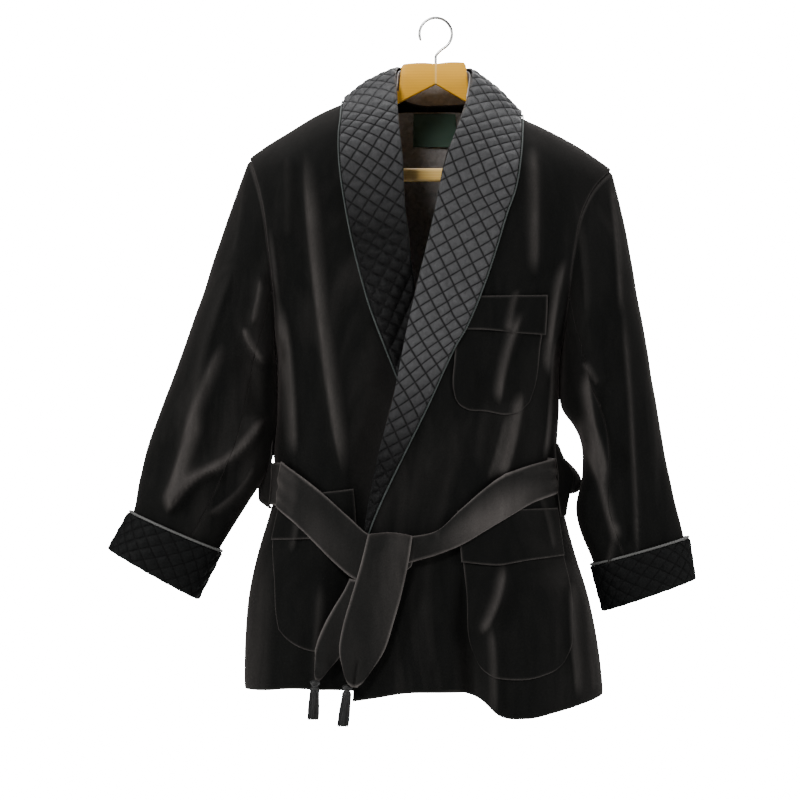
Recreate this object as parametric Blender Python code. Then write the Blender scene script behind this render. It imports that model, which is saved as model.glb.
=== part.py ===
"""A velvet smoking jacket with a quilted shawl collar, quilted turn-back cuffs, three patch pockets and a
tied belt with tassels, hanging on a wooden hanger.

Metres, +Z up. The jacket faces -Y, so the wearer's left side is at +X. The origin is where the hanger's hook
bears on its rail. Heights are written as drops: metres below that point. Cloth is cut as walls: each surface
is a function of two numbers, one across the piece and one along it, and its wall lies just inside it.
"""

import bmesh
import bpy
import numpy as np
from mathutils import Vector
from mathutils.bvhtree import BVHTree
from mathutils.geometry import delaunay_2d_cdt

CLOTH = 0.0024  # velvet, canvas and lining together
SEAM = 0.0003  # space between two pieces that are sewn together
LAID_ON = 0.0005  # space under a piece that lies on a panel
STEP = 1e-4  # share of a surface over which its slope is measured

for leftover in list(bpy.data.objects):
    bpy.data.objects.remove(leftover)


# Reading smooth curves from short tables


def through(at, stations, values):
    """A smooth curve through a table's rows: between two rows a cubic, whose slopes come from both neighbours."""
    at = np.asarray(at, float)
    stations = np.asarray(stations, float)
    values = np.asarray(values, float)
    gap = np.diff(stations)
    rise = np.diff(values) / gap
    inner = (rise[:-1] * gap[1:] + rise[1:] * gap[:-1]) / (gap[1:] + gap[:-1])
    slope = np.concatenate([[rise[0]], inner, [rise[-1]]])
    i = np.clip(np.searchsorted(stations, at) - 1, 0, len(gap) - 1)
    t = np.clip((at - stations[i]) / gap[i], 0, 1)
    start = (1 + 2 * t) * (1 - t) ** 2 * values[i] + t * (1 - t) ** 2 * gap[i] * slope[i]
    end = t * t * (3 - 2 * t) * values[i + 1] - t * t * (1 - t) * gap[i] * slope[i + 1]
    return start + end


def column(table, number):
    return np.array([row[number] for row in table], float)


def soft_step(t):
    """0 below 0, 1 above 1, and a smooth rise between."""
    t = np.clip(t, 0, 1)
    return t * t * (3 - 2 * t)


# The hanging body of the jacket

BODY = [
    # drop, wearer's right side x, wearer's left side x, depth in front, depth behind
    (0.160, -0.275, 0.250, 0.098, 0.083),
    (0.200, -0.2585, 0.2355, 0.101, 0.086),
    (0.232, -0.2570, 0.2230, 0.103, 0.088),
    (0.268, -0.2570, 0.2215, 0.104, 0.089),
    (0.310, -0.2550, 0.2245, 0.105, 0.090),
    (0.358, -0.2370, 0.2050, 0.104, 0.089),
    (0.402, -0.2190, 0.1790, 0.103, 0.088),
    (0.432, -0.2060, 0.1615, 0.102, 0.087),
    (0.455, -0.2025, 0.1570, 0.101, 0.086),
    (0.500, -0.2025, 0.1565, 0.097, 0.083),
    (0.560, -0.2025, 0.1555, 0.091, 0.078),
    (0.600, -0.2035, 0.1575, 0.089, 0.076),
    (0.640, -0.2150, 0.1665, 0.091, 0.080),
    (0.683, -0.2280, 0.1780, 0.095, 0.085),
    (0.740, -0.2405, 0.1955, 0.101, 0.091),
    (0.800, -0.2455, 0.2080, 0.106, 0.096),
    (0.865, -0.2465, 0.2155, 0.110, 0.100),
    (0.920, -0.2465, 0.2180, 0.112, 0.102),
]
RIDGE = [
    # x, drop of the line where the cloth goes over the hanger's arm
    (-0.300, 0.218),
    (-0.243, 0.181),
    (-0.219, 0.164),
    (-0.188, 0.145),
    (-0.154, 0.1245),
    (-0.114, 0.1066),
    (-0.066, 0.088),
    (-0.045, 0.083),
    (0.000, 0.079),
    (0.045, 0.094),
    (0.062, 0.1045),
    (0.106, 0.1255),
    (0.148, 0.145),
    (0.183, 0.164),
    (0.212, 0.183),
    (0.232, 0.197),
    (0.280, 0.232),
]
ROUNDNESS = 2.5  # 2 would make each level an ellipse
SHOULDER_ROLL = 0.110  # drop over which the cloth turns from the ridge to hanging straight
FRONT_FOLDS = [
    # x and drop of its top, x and drop of its foot, sideways bow, half width, height towards the front
    (-0.166, 0.150, -0.110, 0.600, -0.010, 0.016, 0.008),
    (-0.199, 0.370, -0.178, 0.560, 0.003, 0.011, 0.006),
    (-0.188, 0.200, -0.182, 0.420, 0.002, 0.014, 0.004),
    (-0.170, 0.660, -0.188, 0.900, 0.004, 0.030, 0.007),
    (-0.215, 0.690, -0.226, 0.900, 0.003, 0.018, 0.006),
    (0.122, 0.150, 0.124, 0.350, 0.002, 0.017, 0.006),
    (0.163, 0.310, 0.139, 0.470, -0.004, 0.013, 0.007),
    (0.110, 0.345, 0.090, 0.475, -0.004, 0.012, 0.006),
    (0.092, 0.450, 0.077, 0.590, 0.003, 0.015, 0.009),
    (0.150, 0.430, 0.136, 0.570, 0.002, 0.010, 0.006),
    (0.050, 0.500, 0.048, 0.600, 0.002, 0.020, -0.005),
    (0.112, 0.690, 0.122, 0.930, 0.004, 0.055, 0.020),
    (0.034, 0.690, 0.046, 0.900, 0.003, 0.018, -0.010),
    (0.079, 0.700, 0.052, 0.775, 0.006, 0.011, 0.005),
    (0.172, 0.700, 0.185, 0.880, -0.003, 0.014, -0.006),
    (-0.020, 0.720, -0.012, 0.900, 0.002, 0.030, 0.004),
]
BACK_FOLDS = [
    # x and drop of its top, x and drop of its foot, sideways bow, half width, height towards the back
    (-0.170, 0.230, -0.150, 0.560, -0.006, 0.018, 0.008),
    (0.150, 0.240, 0.118, 0.560, 0.006, 0.018, 0.008),
    (-0.085, 0.440, -0.075, 0.600, 0.004, 0.016, 0.006),
    (0.052, 0.430, 0.046, 0.600, -0.004, 0.016, 0.006),
    (-0.150, 0.620, -0.172, 0.920, 0.006, 0.028, 0.012),
    (-0.062, 0.620, -0.070, 0.920, -0.004, 0.026, 0.009),
    (0.035, 0.620, 0.045, 0.920, 0.004, 0.026, 0.010),
    (0.120, 0.620, 0.142, 0.920, -0.005, 0.028, 0.012),
]
BELT_LEVEL = 0.598  # drop of the belt's middle at the sides and behind


def over_ridge(x):
    return through(x, column(RIDGE, 0), column(RIDGE, 1))


def body_side(side, drop):
    return through(drop, column(BODY, 0), column(BODY, 1 if side < 0 else 2))


def body_depth(facing, drop):
    return through(drop, column(BODY, 0), column(BODY, 3 if facing < 0 else 4))


def shoulder_roll(below):
    """A quarter circle: 0 on the ridge, and 1 from SHOULDER_ROLL below it down."""
    share = np.clip(below / SHOULDER_ROLL, 0, 1)
    return np.sqrt(1 - (1 - share) ** 2)


def across_share(x, drop):
    """How deep the body is at x, as a share of its depth in the middle."""
    right = body_side(-1, drop)
    left = body_side(1, drop)
    out = np.abs((x - (left + right) / 2) / ((left - right) / 2))
    return (1 - np.clip(out, 0, 1) ** ROUNDNESS) ** (1 / ROUNDNESS)


def folds(table, x, drop):
    """The height of the soft ridges and troughs of a table at a place, each a bell across and tapered along."""
    total = np.zeros(np.broadcast(x, drop).shape)
    for top_x, top_drop, foot_x, foot_drop, bow, width, height in table:
        run = np.array([foot_x - top_x, foot_drop - top_drop])
        length = np.hypot(*run)
        along = ((x - top_x) * run[0] + (drop - top_drop) * run[1]) / length**2
        aside = ((x - top_x) * run[1] - (drop - top_drop) * run[0]) / length
        inside = np.clip(along, 0, 1)
        bell = np.exp(-(((aside - 4 * bow * inside * (1 - inside)) / width) ** 2))
        total = total + height * bell * soft_step(along / 0.25) * soft_step((1 - along) / 0.2)
    return total


def held_by_belt(drop):
    """How much of a fold is left near the belt, which pulls the cloth in."""
    return 1 - 0.85 * np.exp(-(((drop - BELT_LEVEL - 0.02) / 0.05) ** 2))


def body_y(facing, x, drop):
    """The y of the body's outer face: facing is -1 in front and 1 behind."""
    share = across_share(x, drop)
    depth = body_depth(facing, drop) * share * shoulder_roll(drop - over_ridge(x))
    table = FRONT_FOLDS if facing < 0 else BACK_FOLDS
    return facing * (depth + folds(table, x, drop) * held_by_belt(drop) * np.sqrt(share))


# The two fronts: the wearer's left one, at +X, laps over the right one

LEFT_ROLL = [
    # drop, x of the left front's roll line, and below the belt of its edge
    (0.1045, 0.0620),
    (0.125, 0.0430),
    (0.149, 0.0300),
    (0.166, 0.0180),
    (0.195, 0.0085),
    (0.235, 0.0015),
    (0.285, -0.0095),
    (0.342, -0.0245),
    (0.395, -0.0360),
    (0.455, -0.0475),
    (0.515, -0.0605),
    (0.575, -0.0735),
    (0.655, -0.0830),
    (0.760, -0.0950),
    (0.870, -0.1060),
]
RIGHT_ROLL = [
    # drop, x of the right front's roll line, and below the belt of its edge
    (0.088, -0.0660),
    (0.112, -0.0510),
    (0.140, -0.0485),
    (0.173, -0.0440),
    (0.2065, -0.0418),
    (0.2436, -0.0400),
    (0.280, -0.0350),
    (0.337, -0.0290),
    (0.400, -0.0180),
    (0.500, 0.0060),
    (0.620, 0.0340),
    (0.740, 0.0460),
    (0.860, 0.0520),
]
LEFT_HEM = [
    # x, drop of the left front's hem
    (-0.120, 0.8690),
    (-0.106, 0.8680),
    (-0.078, 0.8640),
    (-0.040, 0.8580),
    (0.000, 0.8570),
    (0.037, 0.8580),
    (0.056, 0.8670),
    (0.076, 0.8850),
    (0.114, 0.8910),
    (0.152, 0.8840),
    (0.191, 0.8750),
    (0.2155, 0.8680),
]
RIGHT_HEM = [
    # x, drop of the right front's hem
    (-0.2465, 0.8610),
    (-0.210, 0.8570),
    (-0.190, 0.8540),
    (-0.140, 0.8530),
    (-0.100, 0.8530),
    (0.055, 0.8500),
]
BACK_HEM = [
    # x, drop of the back's hem
    (-0.2465, 0.8610),
    (-0.172, 0.8560),
    (-0.110, 0.8490),
    (-0.060, 0.8520),
    (-0.010, 0.8490),
    (0.045, 0.8530),
    (0.090, 0.8500),
    (0.142, 0.8590),
    (0.2155, 0.8680),
]
OVERLAP_SINK = 0.011  # how far the right front lies further in, where the left one covers it
OVERLAP_LIFT = 0.004  # how far the left front lies further out there


def roll_x(side, drop):
    table = RIGHT_ROLL if side < 0 else LEFT_ROLL
    return through(drop, column(table, 0), column(table, 1))


def front_y(side, x, drop):
    """The y of a front panel's outer face, with the room that the two fronts need where they lap."""
    low = soft_step((drop - 0.27) / 0.08)
    if side < 0:
        shift = OVERLAP_SINK * low * soft_step((x - roll_x(1, drop) + 0.055) / 0.055)
    else:
        shift = -OVERLAP_LIFT * low * soft_step((roll_x(-1, drop) + 0.080 - x) / 0.070)
    return body_y(-1, x, drop) + shift


SIDES = {
    # the shoulder's tip and neck point x, the underarm's drop, and the hem of the front
    -1: {"name": "right", "tip": -0.240, "neck": -0.066, "underarm": 0.430, "hem": RIGHT_HEM},
    1: {"name": "left", "tip": 0.226, "neck": 0.062, "underarm": 0.435, "hem": LEFT_HEM},
}
ARMHOLE_SHARE = 0.42  # share of a panel's rows that lie along the armhole
CENTRE_BACK = -0.010
BACK_NECK_DROP = 0.106


ARMHOLES = {
    # drop, x
    -1: [(0.178, -0.240), (0.205, -0.231), (0.240, -0.222), (0.300, -0.214), (0.370, -0.207), (0.430, -0.2065)],
    1: [(0.194, 0.226), (0.215, 0.206), (0.245, 0.189), (0.300, 0.176), (0.370, 0.168), (0.435, 0.1608)],
}


def armhole(side, facing, turn):
    """x, y and drop on the armhole: turn goes from 0 at the shoulder's tip to pi at the underarm."""
    facts = SIDES[side]
    top = over_ridge(facts["tip"])
    drop = (top + facts["underarm"]) / 2 - (facts["underarm"] - top) / 2 * np.cos(turn)
    x = through(drop, column(ARMHOLES[side], 0), column(ARMHOLES[side], 1))
    x = x + (body_side(side, facts["underarm"]) - ARMHOLES[side][-1][1]) * soft_step((turn - 2) / 1.14)
    x = x + (facts["tip"] - through(top, column(ARMHOLES[side], 0), column(ARMHOLES[side], 1))) * soft_step(1 - turn)
    return x, body_y(facing, x, drop), drop


def outer_edge(side, facing, along):
    """x and drop of a panel's outer edge: down the armhole, and then down the side seam."""
    along = np.asarray(along, float)
    arm_x, _, arm_drop = armhole(side, facing, np.pi * np.clip(along / ARMHOLE_SHARE, 0, 1))
    below = np.clip((along - ARMHOLE_SHARE) / (1 - ARMHOLE_SHARE), 0, 1)
    hem = BACK_HEM[0 if side < 0 else -1][1]
    seam_drop = SIDES[side]["underarm"] + (hem - SIDES[side]["underarm"]) * below
    on_arm = along <= ARMHOLE_SHARE
    return np.where(on_arm, arm_x, body_side(side, seam_drop)), np.where(on_arm, arm_drop, seam_drop)


def hem_drop(table, x):
    return through(x, column(table, 0), column(table, 1))


def front_panel(side):
    """A front, from its outer edge at across 0 to its roll line at 1, and from the shoulder seam to the hem."""
    facts = SIDES[side]
    neck_drop = over_ridge(facts["neck"])
    foot = (RIGHT_ROLL if side < 0 else LEFT_ROLL)[-1][0]

    def surface(across, along):
        out_x, out_drop = outer_edge(side, -1, along)
        down = (out_drop - over_ridge(facts["tip"])) / (BACK_HEM[0 if side < 0 else -1][1] - over_ridge(facts["tip"]))
        in_drop = neck_drop + (foot - neck_drop) * down
        in_x = roll_x(side, in_drop)
        x = out_x + (in_x - out_x) * across

        def share(x_there, drop_there):
            top = over_ridge(x_there)
            return (drop_there - top) / (hem_drop(facts["hem"], x_there) - top)

        fall = share(out_x, out_drop) * (1 - across) + share(in_x, in_drop) * across
        drop = over_ridge(x) + fall * (hem_drop(facts["hem"], x) - over_ridge(x))
        return np.stack([x, front_y(side, x, drop), -drop], axis=-1)

    return surface


def back_panel(side):
    """Half the back, from its outer edge at across 0 to the centre back seam at 1."""
    facts = SIDES[side]
    neck_drop = over_ridge(facts["neck"])

    def neck_share(x):
        inward = np.clip((facts["neck"] - x) / (facts["neck"] - CENTRE_BACK), 0, 1)
        seam = neck_drop + (BACK_NECK_DROP - neck_drop) * np.sin(inward * np.pi / 2)
        top = over_ridge(x)
        return np.where(inward > 0, (seam - top) / (hem_drop(BACK_HEM, x) - top), 0)

    def surface(across, along):
        out_x, out_drop = outer_edge(side, 1, along)
        down = (out_drop - over_ridge(facts["tip"])) / (BACK_HEM[0 if side < 0 else -1][1] - over_ridge(facts["tip"]))
        x = out_x + (CENTRE_BACK - out_x) * across
        top = over_ridge(out_x)
        side_share = (out_drop - top) / (hem_drop(BACK_HEM, out_x) - top)
        fall = side_share * (1 - across) + down * across
        fall = neck_share(x) + (1 - neck_share(x)) * fall
        drop = over_ridge(x) + fall * (hem_drop(BACK_HEM, x) - over_ridge(x))
        return np.stack([x, body_y(1, x, drop), -drop], axis=-1)

    return surface


# Making walls, quilted walls and tubes


def paint(name, colour, roughness, metallic=0.0):
    """A plain Principled material."""
    material = bpy.data.materials.new(name)
    material.use_nodes = True
    shader = material.node_tree.nodes["Principled BSDF"]
    shader.inputs["Base Color"].default_value = (*colour, 1.0)
    shader.inputs["Roughness"].default_value = roughness
    shader.inputs["Metallic"].default_value = metallic
    return material


VELVET = paint("black_velvet", (0.016, 0.019, 0.018), 0.85)
SATIN = paint("quilted_satin", (0.045, 0.048, 0.050), 0.42)
BRAID = paint("cord_trim", (0.075, 0.085, 0.085), 0.6)
LINING = paint("lining_satin", (0.020, 0.022, 0.022), 0.35)
LABEL = paint("woven_label", (0.010, 0.020, 0.015), 0.6)
WOOD = paint("varnished_wood", (0.72, 0.42, 0.13), 0.4)
STEEL = paint("hook_steel", (0.70, 0.70, 0.70), 0.25, 1.0)


def add_object(name, points, faces, material):
    """A named object whose place is in its mesh, shaded smooth but for its sharp edges."""
    mesh = bpy.data.meshes.new(name)
    mesh.from_pydata([tuple(p) for p in np.asarray(points, float)], [], [tuple(int(i) for i in f) for f in faces])
    mesh.validate()
    made = bmesh.new()
    made.from_mesh(mesh)
    bmesh.ops.recalc_face_normals(made, faces=made.faces)
    made.to_mesh(mesh)
    made.free()
    mesh.materials.append(material)
    mesh.shade_smooth()
    mesh.set_sharp_from_angle(angle=np.radians(40))
    thing = bpy.data.objects.new(name, mesh)
    bpy.context.scene.collection.objects.link(thing)
    return thing


def unit(vectors):
    return vectors / np.maximum(np.linalg.norm(vectors, axis=-1, keepdims=True), 1e-12)


def normals(surface, across, along, out):
    """Unit vectors square to a surface, on the side that out (1 or -1) says."""
    low = surface(np.clip(across - STEP, 0, 1), along)
    high = surface(np.clip(across + STEP, 0, 1), along)
    top = surface(across, np.clip(along - STEP, 0, 1))
    foot = surface(across, np.clip(along + STEP, 0, 1))
    return out * unit(np.cross(high - low, foot - top))


def pull_in(points, edges):
    """Moves the named edges of a grid in by half a seam's space, each point towards its neighbour."""
    for edge in edges:
        rows = {"first": (0, 1), "last": (-1, -2), "top": (0, 1), "foot": (-1, -2)}[edge]
        if edge in ("first", "last"):
            step = unit(points[rows[1]] - points[rows[0]])
            points[rows[0]] += step * SEAM / 2
        else:
            step = unit(points[:, rows[1]] - points[:, rows[0]])
            points[:, rows[0]] += step * SEAM / 2
    return points


def grid_faces(columns, rows, start, flip):
    """Triangles of a grid of points numbered column by column from start."""
    i, j = np.meshgrid(np.arange(columns - 1), np.arange(rows - 1), indexing="ij")
    corner = (start + i * rows + j).reshape(-1)
    first = np.stack([corner, corner + rows, corner + rows + 1], axis=-1)
    second = np.stack([corner, corner + rows + 1, corner + 1], axis=-1)
    faces = np.concatenate([first, second])
    return faces[:, ::-1] if flip else faces


def rim_of(faces):
    """The edges that only one triangle uses, each in its triangle's order."""
    used = {}
    for a, b, c in np.asarray(faces).tolist():
        for edge in ((a, b), (b, c), (c, a)):
            used[tuple(sorted(edge))] = None if tuple(sorted(edge)) in used else edge
    return [edge for edge in used.values() if edge]


def wall_from(name, outer, inner, faces, material):
    """A closed wall between two layers of points that share their triangles."""
    outer = np.asarray(outer, float).reshape(-1, 3)
    inner = np.asarray(inner, float).reshape(-1, 3)
    count = len(outer)
    faces = [tuple(face) for face in np.asarray(faces).tolist()]
    back = [(c + count, b + count, a + count) for a, b, c in faces]
    sides = []
    for a, b in rim_of(faces):
        sides += [(b, a, a + count), (b, a + count, b + count)]
    return add_object(name, np.concatenate([outer, inner]), [*faces, *back, *sides], material)


def wall(name, surface, across, along, thickness, material, out, sewn=()):
    """A piece of cloth whose outer face is the surface, and whose named edges are sewn to a neighbour."""
    u, v = np.meshgrid(across, along, indexing="ij")
    outer = surface(u, v)
    way = normals(surface, u, v, out)
    inner = outer - way * thickness
    faces = grid_faces(*u.shape, 0, False)
    pull_in(outer, sewn)
    pull_in(inner, sewn)
    keep_sheet(name, outer, faces, way)
    keep_sheet(name + " inside", inner, faces, -way)
    return wall_from(name, outer, inner, faces, material)


SHEETS = {}


def settle(points, faces, below, gap, rounds=16):
    """Moves the points of a layer square to the sheets below, until its triangles clear them by the gap."""
    trees = [BVHTree.FromPolygons(*SHEETS[name]) for name in below]
    points = np.array(points, float)
    parts = 4
    weights = [(i / parts, j / parts, 1 - (i + j) / parts) for i in range(parts + 1) for j in range(parts + 1 - i)]
    for _ in range(rounds):
        lift = np.zeros(len(points))
        way = np.zeros_like(points)
        for face in faces:
            corners = points[list(face)]
            for weight in weights:
                place = np.array(weight) @ corners
                for tree in trees:
                    nearest, normal, _, distance = tree.find_nearest(place.tolist(), 0.025)
                    if nearest is None or distance < 1e-9:
                        continue
                    height = float(np.dot(place - np.array(nearest), np.array(normal)))
                    if abs(height) < 0.6 * distance or height >= gap:
                        continue
                    for corner, share in zip(face, weight):
                        if share > 0 and gap - height > lift[corner]:
                            lift[corner] = gap - height
                            way[corner] = normal
        if lift.max() < 1e-6:
            break
        points += way * np.minimum(lift, 0.006)[:, None]
    return points


def keep_sheet(name, points, faces, way):
    """Remembers a piece's outer face, turned the way it faces, so that other pieces can be laid on it."""
    points = np.asarray(points, float).reshape(-1, 3)
    way = np.asarray(way, float).reshape(-1, 3)
    turned = []
    for face in np.asarray(faces).tolist():
        square = np.cross(points[face[1]] - points[face[0]], points[face[2]] - points[face[0]])
        turned.append(tuple(face) if square @ way[face].sum(axis=0) > 0 else tuple(face[::-1]))
    SHEETS[name] = ([tuple(p) for p in points], turned)


def tube(name, path, radius, sides, material, closed=False, upright=(0, 0, 1)):
    """A round bar along a path. A closed one joins its end to its start, and an open one is capped."""
    path = np.asarray(path, float)
    if closed:
        way = unit(np.roll(path, -1, axis=0) - np.roll(path, 1, axis=0))
    else:
        way = unit(np.gradient(path, axis=0))
    aside = unit(np.cross(way, np.array(upright, float)))
    over = np.cross(aside, way)
    turn = np.arange(sides) / sides * 2 * np.pi
    radius = np.broadcast_to(radius, len(path))[:, None, None]
    ring = aside[:, None] * np.cos(turn)[None, :, None] + over[:, None] * np.sin(turn)[None, :, None]
    points = (path[:, None] + ring * radius).reshape(-1, 3)
    faces = []
    for i in range(len(path) if closed else len(path) - 1):
        for k in range(sides):
            here, there = i * sides, (i + 1) % len(path) * sides
            faces.append((here + k, here + (k + 1) % sides, there + (k + 1) % sides, there + k))
    if not closed:
        faces.append(tuple(range(sides))[::-1])
        faces.append(tuple(range((len(path) - 1) * sides, len(path) * sides)))
    return add_object(name, points, faces, material)


# The panels

FRONT_ACROSS = np.array([0, 0.04, 0.11, 0.20, 0.30, 0.40, 0.50, 0.60, 0.70, 0.80, 0.90, 1])
ALONG = np.concatenate([[0, 0.004, 0.015, 0.04, 0.08, 0.13, 0.19, 0.25, 0.31, 0.37, 0.42], 0.42 + 0.58 * np.arange(1, 13) / 12])
BACK_ACROSS = np.array([0, 0.05, 0.13, 0.25, 0.38, 0.51, 0.64, 0.77, 0.89, 1])

front_right = wall("front_right", front_panel(-1), FRONT_ACROSS, ALONG, CLOTH, VELVET, -1, ("first", "top"))
front_left = wall("front_left", front_panel(1), FRONT_ACROSS, ALONG, CLOTH, VELVET, 1, ("first", "top"))
back_right = wall("back_right", back_panel(-1), BACK_ACROSS, ALONG, CLOTH, VELVET, 1, ("first", "top", "last"))
back_left = wall("back_left", back_panel(1), BACK_ACROSS, ALONG, CLOTH, VELVET, -1, ("first", "top", "last"))


# Sleeves and cuffs

SLEEVES = {
    -1: [
        # outer x and drop, inner x and drop, y of the middle, half depth
        (-0.240, 0.178, -0.206, 0.430, -0.004, 0.070),
        (-0.262, 0.240, -0.2085, 0.450, -0.003, 0.071),
        (-0.280, 0.292, -0.2100, 0.467, -0.005, 0.069),
        (-0.298, 0.348, -0.2115, 0.485, -0.007, 0.066),
        (-0.318, 0.408, -0.2130, 0.508, -0.009, 0.062),
        (-0.342, 0.473, -0.2150, 0.540, -0.011, 0.057),
        (-0.366, 0.538, -0.2220, 0.582, -0.013, 0.050),
        (-0.380, 0.592, -0.2400, 0.622, -0.016, 0.043),
        (-0.3890, 0.636, -0.2790, 0.684, -0.020, 0.034),
        (-0.4150, 0.680, -0.3088, 0.743, -0.022, 0.0285),
    ],
    1: [
        (0.226, 0.193, 0.1612, 0.435, -0.004, 0.070),
        (0.2375, 0.240, 0.1655, 0.452, -0.003, 0.071),
        (0.2480, 0.290, 0.1680, 0.468, -0.005, 0.069),
        (0.2565, 0.340, 0.1700, 0.486, -0.007, 0.066),
        (0.2660, 0.390, 0.1740, 0.504, -0.009, 0.062),
        (0.2735, 0.440, 0.1800, 0.524, -0.011, 0.057),
        (0.2835, 0.497, 0.1870, 0.552, -0.013, 0.051),
        (0.2925, 0.550, 0.1875, 0.590, -0.016, 0.045),
        (0.3030, 0.605, 0.1800, 0.632, -0.020, 0.040),
        (0.3197, 0.672, 0.2030, 0.7038, -0.022, 0.0333),
        (0.3280, 0.719, 0.2190, 0.757, -0.022, 0.0285),
    ],
}
CUFFS = {
    # the same six numbers at the cuff's top and foot
    -1: [(-0.394, 0.634, -0.274, 0.686, -0.020, 0.039), (-0.421, 0.682, -0.305, 0.747, -0.022, 0.033)],
    1: [(0.325, 0.667, 0.198, 0.703, -0.022, 0.038), (0.333, 0.721, 0.214, 0.762, -0.022, 0.033)],
}
ARMHOLE_SEAM = 0.0020  # space between an armhole and its sleeve
CAP_FADE = 0.30  # share of the sleeve over which it turns from the armhole's shape to its own
FOREARM_SEAM = 0.31  # turns round the sleeve from its outer line to the seam in front
HINDARM_SEAM = 0.67  # and to the seam behind


def rings(table):
    """A tube from a table of rings: turn goes once round from the outer line by way of the front."""
    middle = np.array([[(row[0] + row[2]) / 2, (row[1] + row[3]) / 2] for row in table])
    stops = np.concatenate([[0], np.cumsum(np.linalg.norm(np.diff(middle, axis=0), axis=1))])
    stops = stops / stops[-1]

    def surface(turn, along):
        out_x, out_drop, in_x, in_drop, y, half = (through(along, stops, column(table, k)) for k in range(6))
        swing = np.cos(2 * np.pi * turn)
        x = (out_x + in_x) / 2 + (out_x - in_x) / 2 * swing
        drop = (out_drop + in_drop) / 2 + (out_drop - in_drop) / 2 * swing
        return np.stack([x, y - half * np.sin(2 * np.pi * turn), -drop], axis=-1)

    return surface


def sleeve(side):
    """A sleeve that starts as its armhole and fades to its own rings."""
    own = rings(SLEEVES[side])

    def surface(turn, along):
        angle = 2 * np.pi * np.clip(turn, 0, 1)
        front = armhole(side, -1, np.minimum(angle, np.pi))
        back = armhole(side, 1, np.minimum(2 * np.pi - angle, np.pi))
        hole = np.where((angle <= np.pi)[..., None], np.stack(front, axis=-1), np.stack(back, axis=-1))
        hole = hole * np.array([1, 1, -1]) + np.array([side * ARMHOLE_SEAM, 0, -ARMHOLE_SEAM / 2])
        fade = 1 - soft_step(along / CAP_FADE)
        return own(turn, along) + (hole - own(turn, 0 * along)) * fade[..., None]

    return surface


def around(surface, start, end):
    """Part of a tube, from one turn to another, as a piece with across from 0 to 1."""
    return lambda across, along: surface((start + (end - start) * across) % 1.0, along)


SLEEVE_ALONG = np.array([0, 0.03, 0.08, 0.15, 0.23, 0.31, 0.40, 0.49, 0.58, 0.67, 0.76, 0.84, 0.92, 1])
sleeves = {}
for side, name in ((-1, "right"), (1, "left")):
    cloth = sleeve(side)
    top = around(cloth, HINDARM_SEAM + 0.002, 1 + FOREARM_SEAM)
    under = around(cloth, FOREARM_SEAM, HINDARM_SEAM)
    ends = ("first", "last")
    sleeves[name] = [
        wall(f"sleeve_{name}_top", top, np.linspace(0, 1, 13), SLEEVE_ALONG, CLOTH, VELVET, side, ends),
        wall(f"sleeve_{name}_under", under, np.linspace(0, 1, 8), SLEEVE_ALONG, CLOTH, VELVET, side, ends),
    ]

QUILT_HALF = 0.0133  # half the diagonal of a quilted square
QUILT_PUFF = 0.0026  # how far a square's middle stands above its seams
CUFF_WALL = 0.0034
CUFF_COLUMNS = 26
CUFF_ROWS = 5


def quilted_ring(name, surface, columns, rows, out):
    """A closed ring of cloth, with a raised point inside each square of seams and a plain inside."""
    turn, down = np.meshgrid(np.arange(columns) / columns, np.arange(rows + 1) / rows, indexing="ij")
    base = surface(turn, down)
    way = out * unit(np.cross(surface(turn + STEP, down) - surface(turn - STEP, down), surface(turn, np.minimum(down + STEP, 1)) - surface(turn, np.maximum(down - STEP, 0))))
    raised = (np.add.outer(np.arange(columns), np.arange(rows + 1)) % 2).astype(float)
    raised[:, 0] = raised[:, -1] = 0
    outer = base + way * QUILT_PUFF * raised[..., None]
    inner = base - way * CUFF_WALL
    count = columns * (rows + 1)
    faces = []
    for i in range(columns):
        for j in range(rows):
            a, b = i * (rows + 1) + j, (i + 1) % columns * (rows + 1) + j
            if (i + j) % 2 == 0:
                faces += [(a, b, b + 1), (a, b + 1, a + 1)]
            else:
                faces += [(a, b, a + 1), (b, b + 1, a + 1)]
    return wall_from(name, outer.reshape(-1, 3), inner.reshape(-1, 3), faces, SATIN)


CORD = 0.0019
for side, name in ((-1, "right"), (1, "left")):
    cuff = rings(CUFFS[side])
    quilted_ring(f"cuff_{name}", cuff, CUFF_COLUMNS, CUFF_ROWS, side)
    turns = np.arange(CUFF_COLUMNS) / CUFF_COLUMNS
    top_edge = cuff(turns, 0 * turns)
    up = unit(top_edge - cuff(turns, 0 * turns + 0.2))
    inward = np.array([*(top_edge.mean(axis=0))]) - top_edge
    tube(f"cuff_cord_{name}", top_edge + up * (CORD + SEAM) + unit(inward) * 0.0008, CORD, 5, BRAID, closed=True)


# The quilted shawl collar

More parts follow.
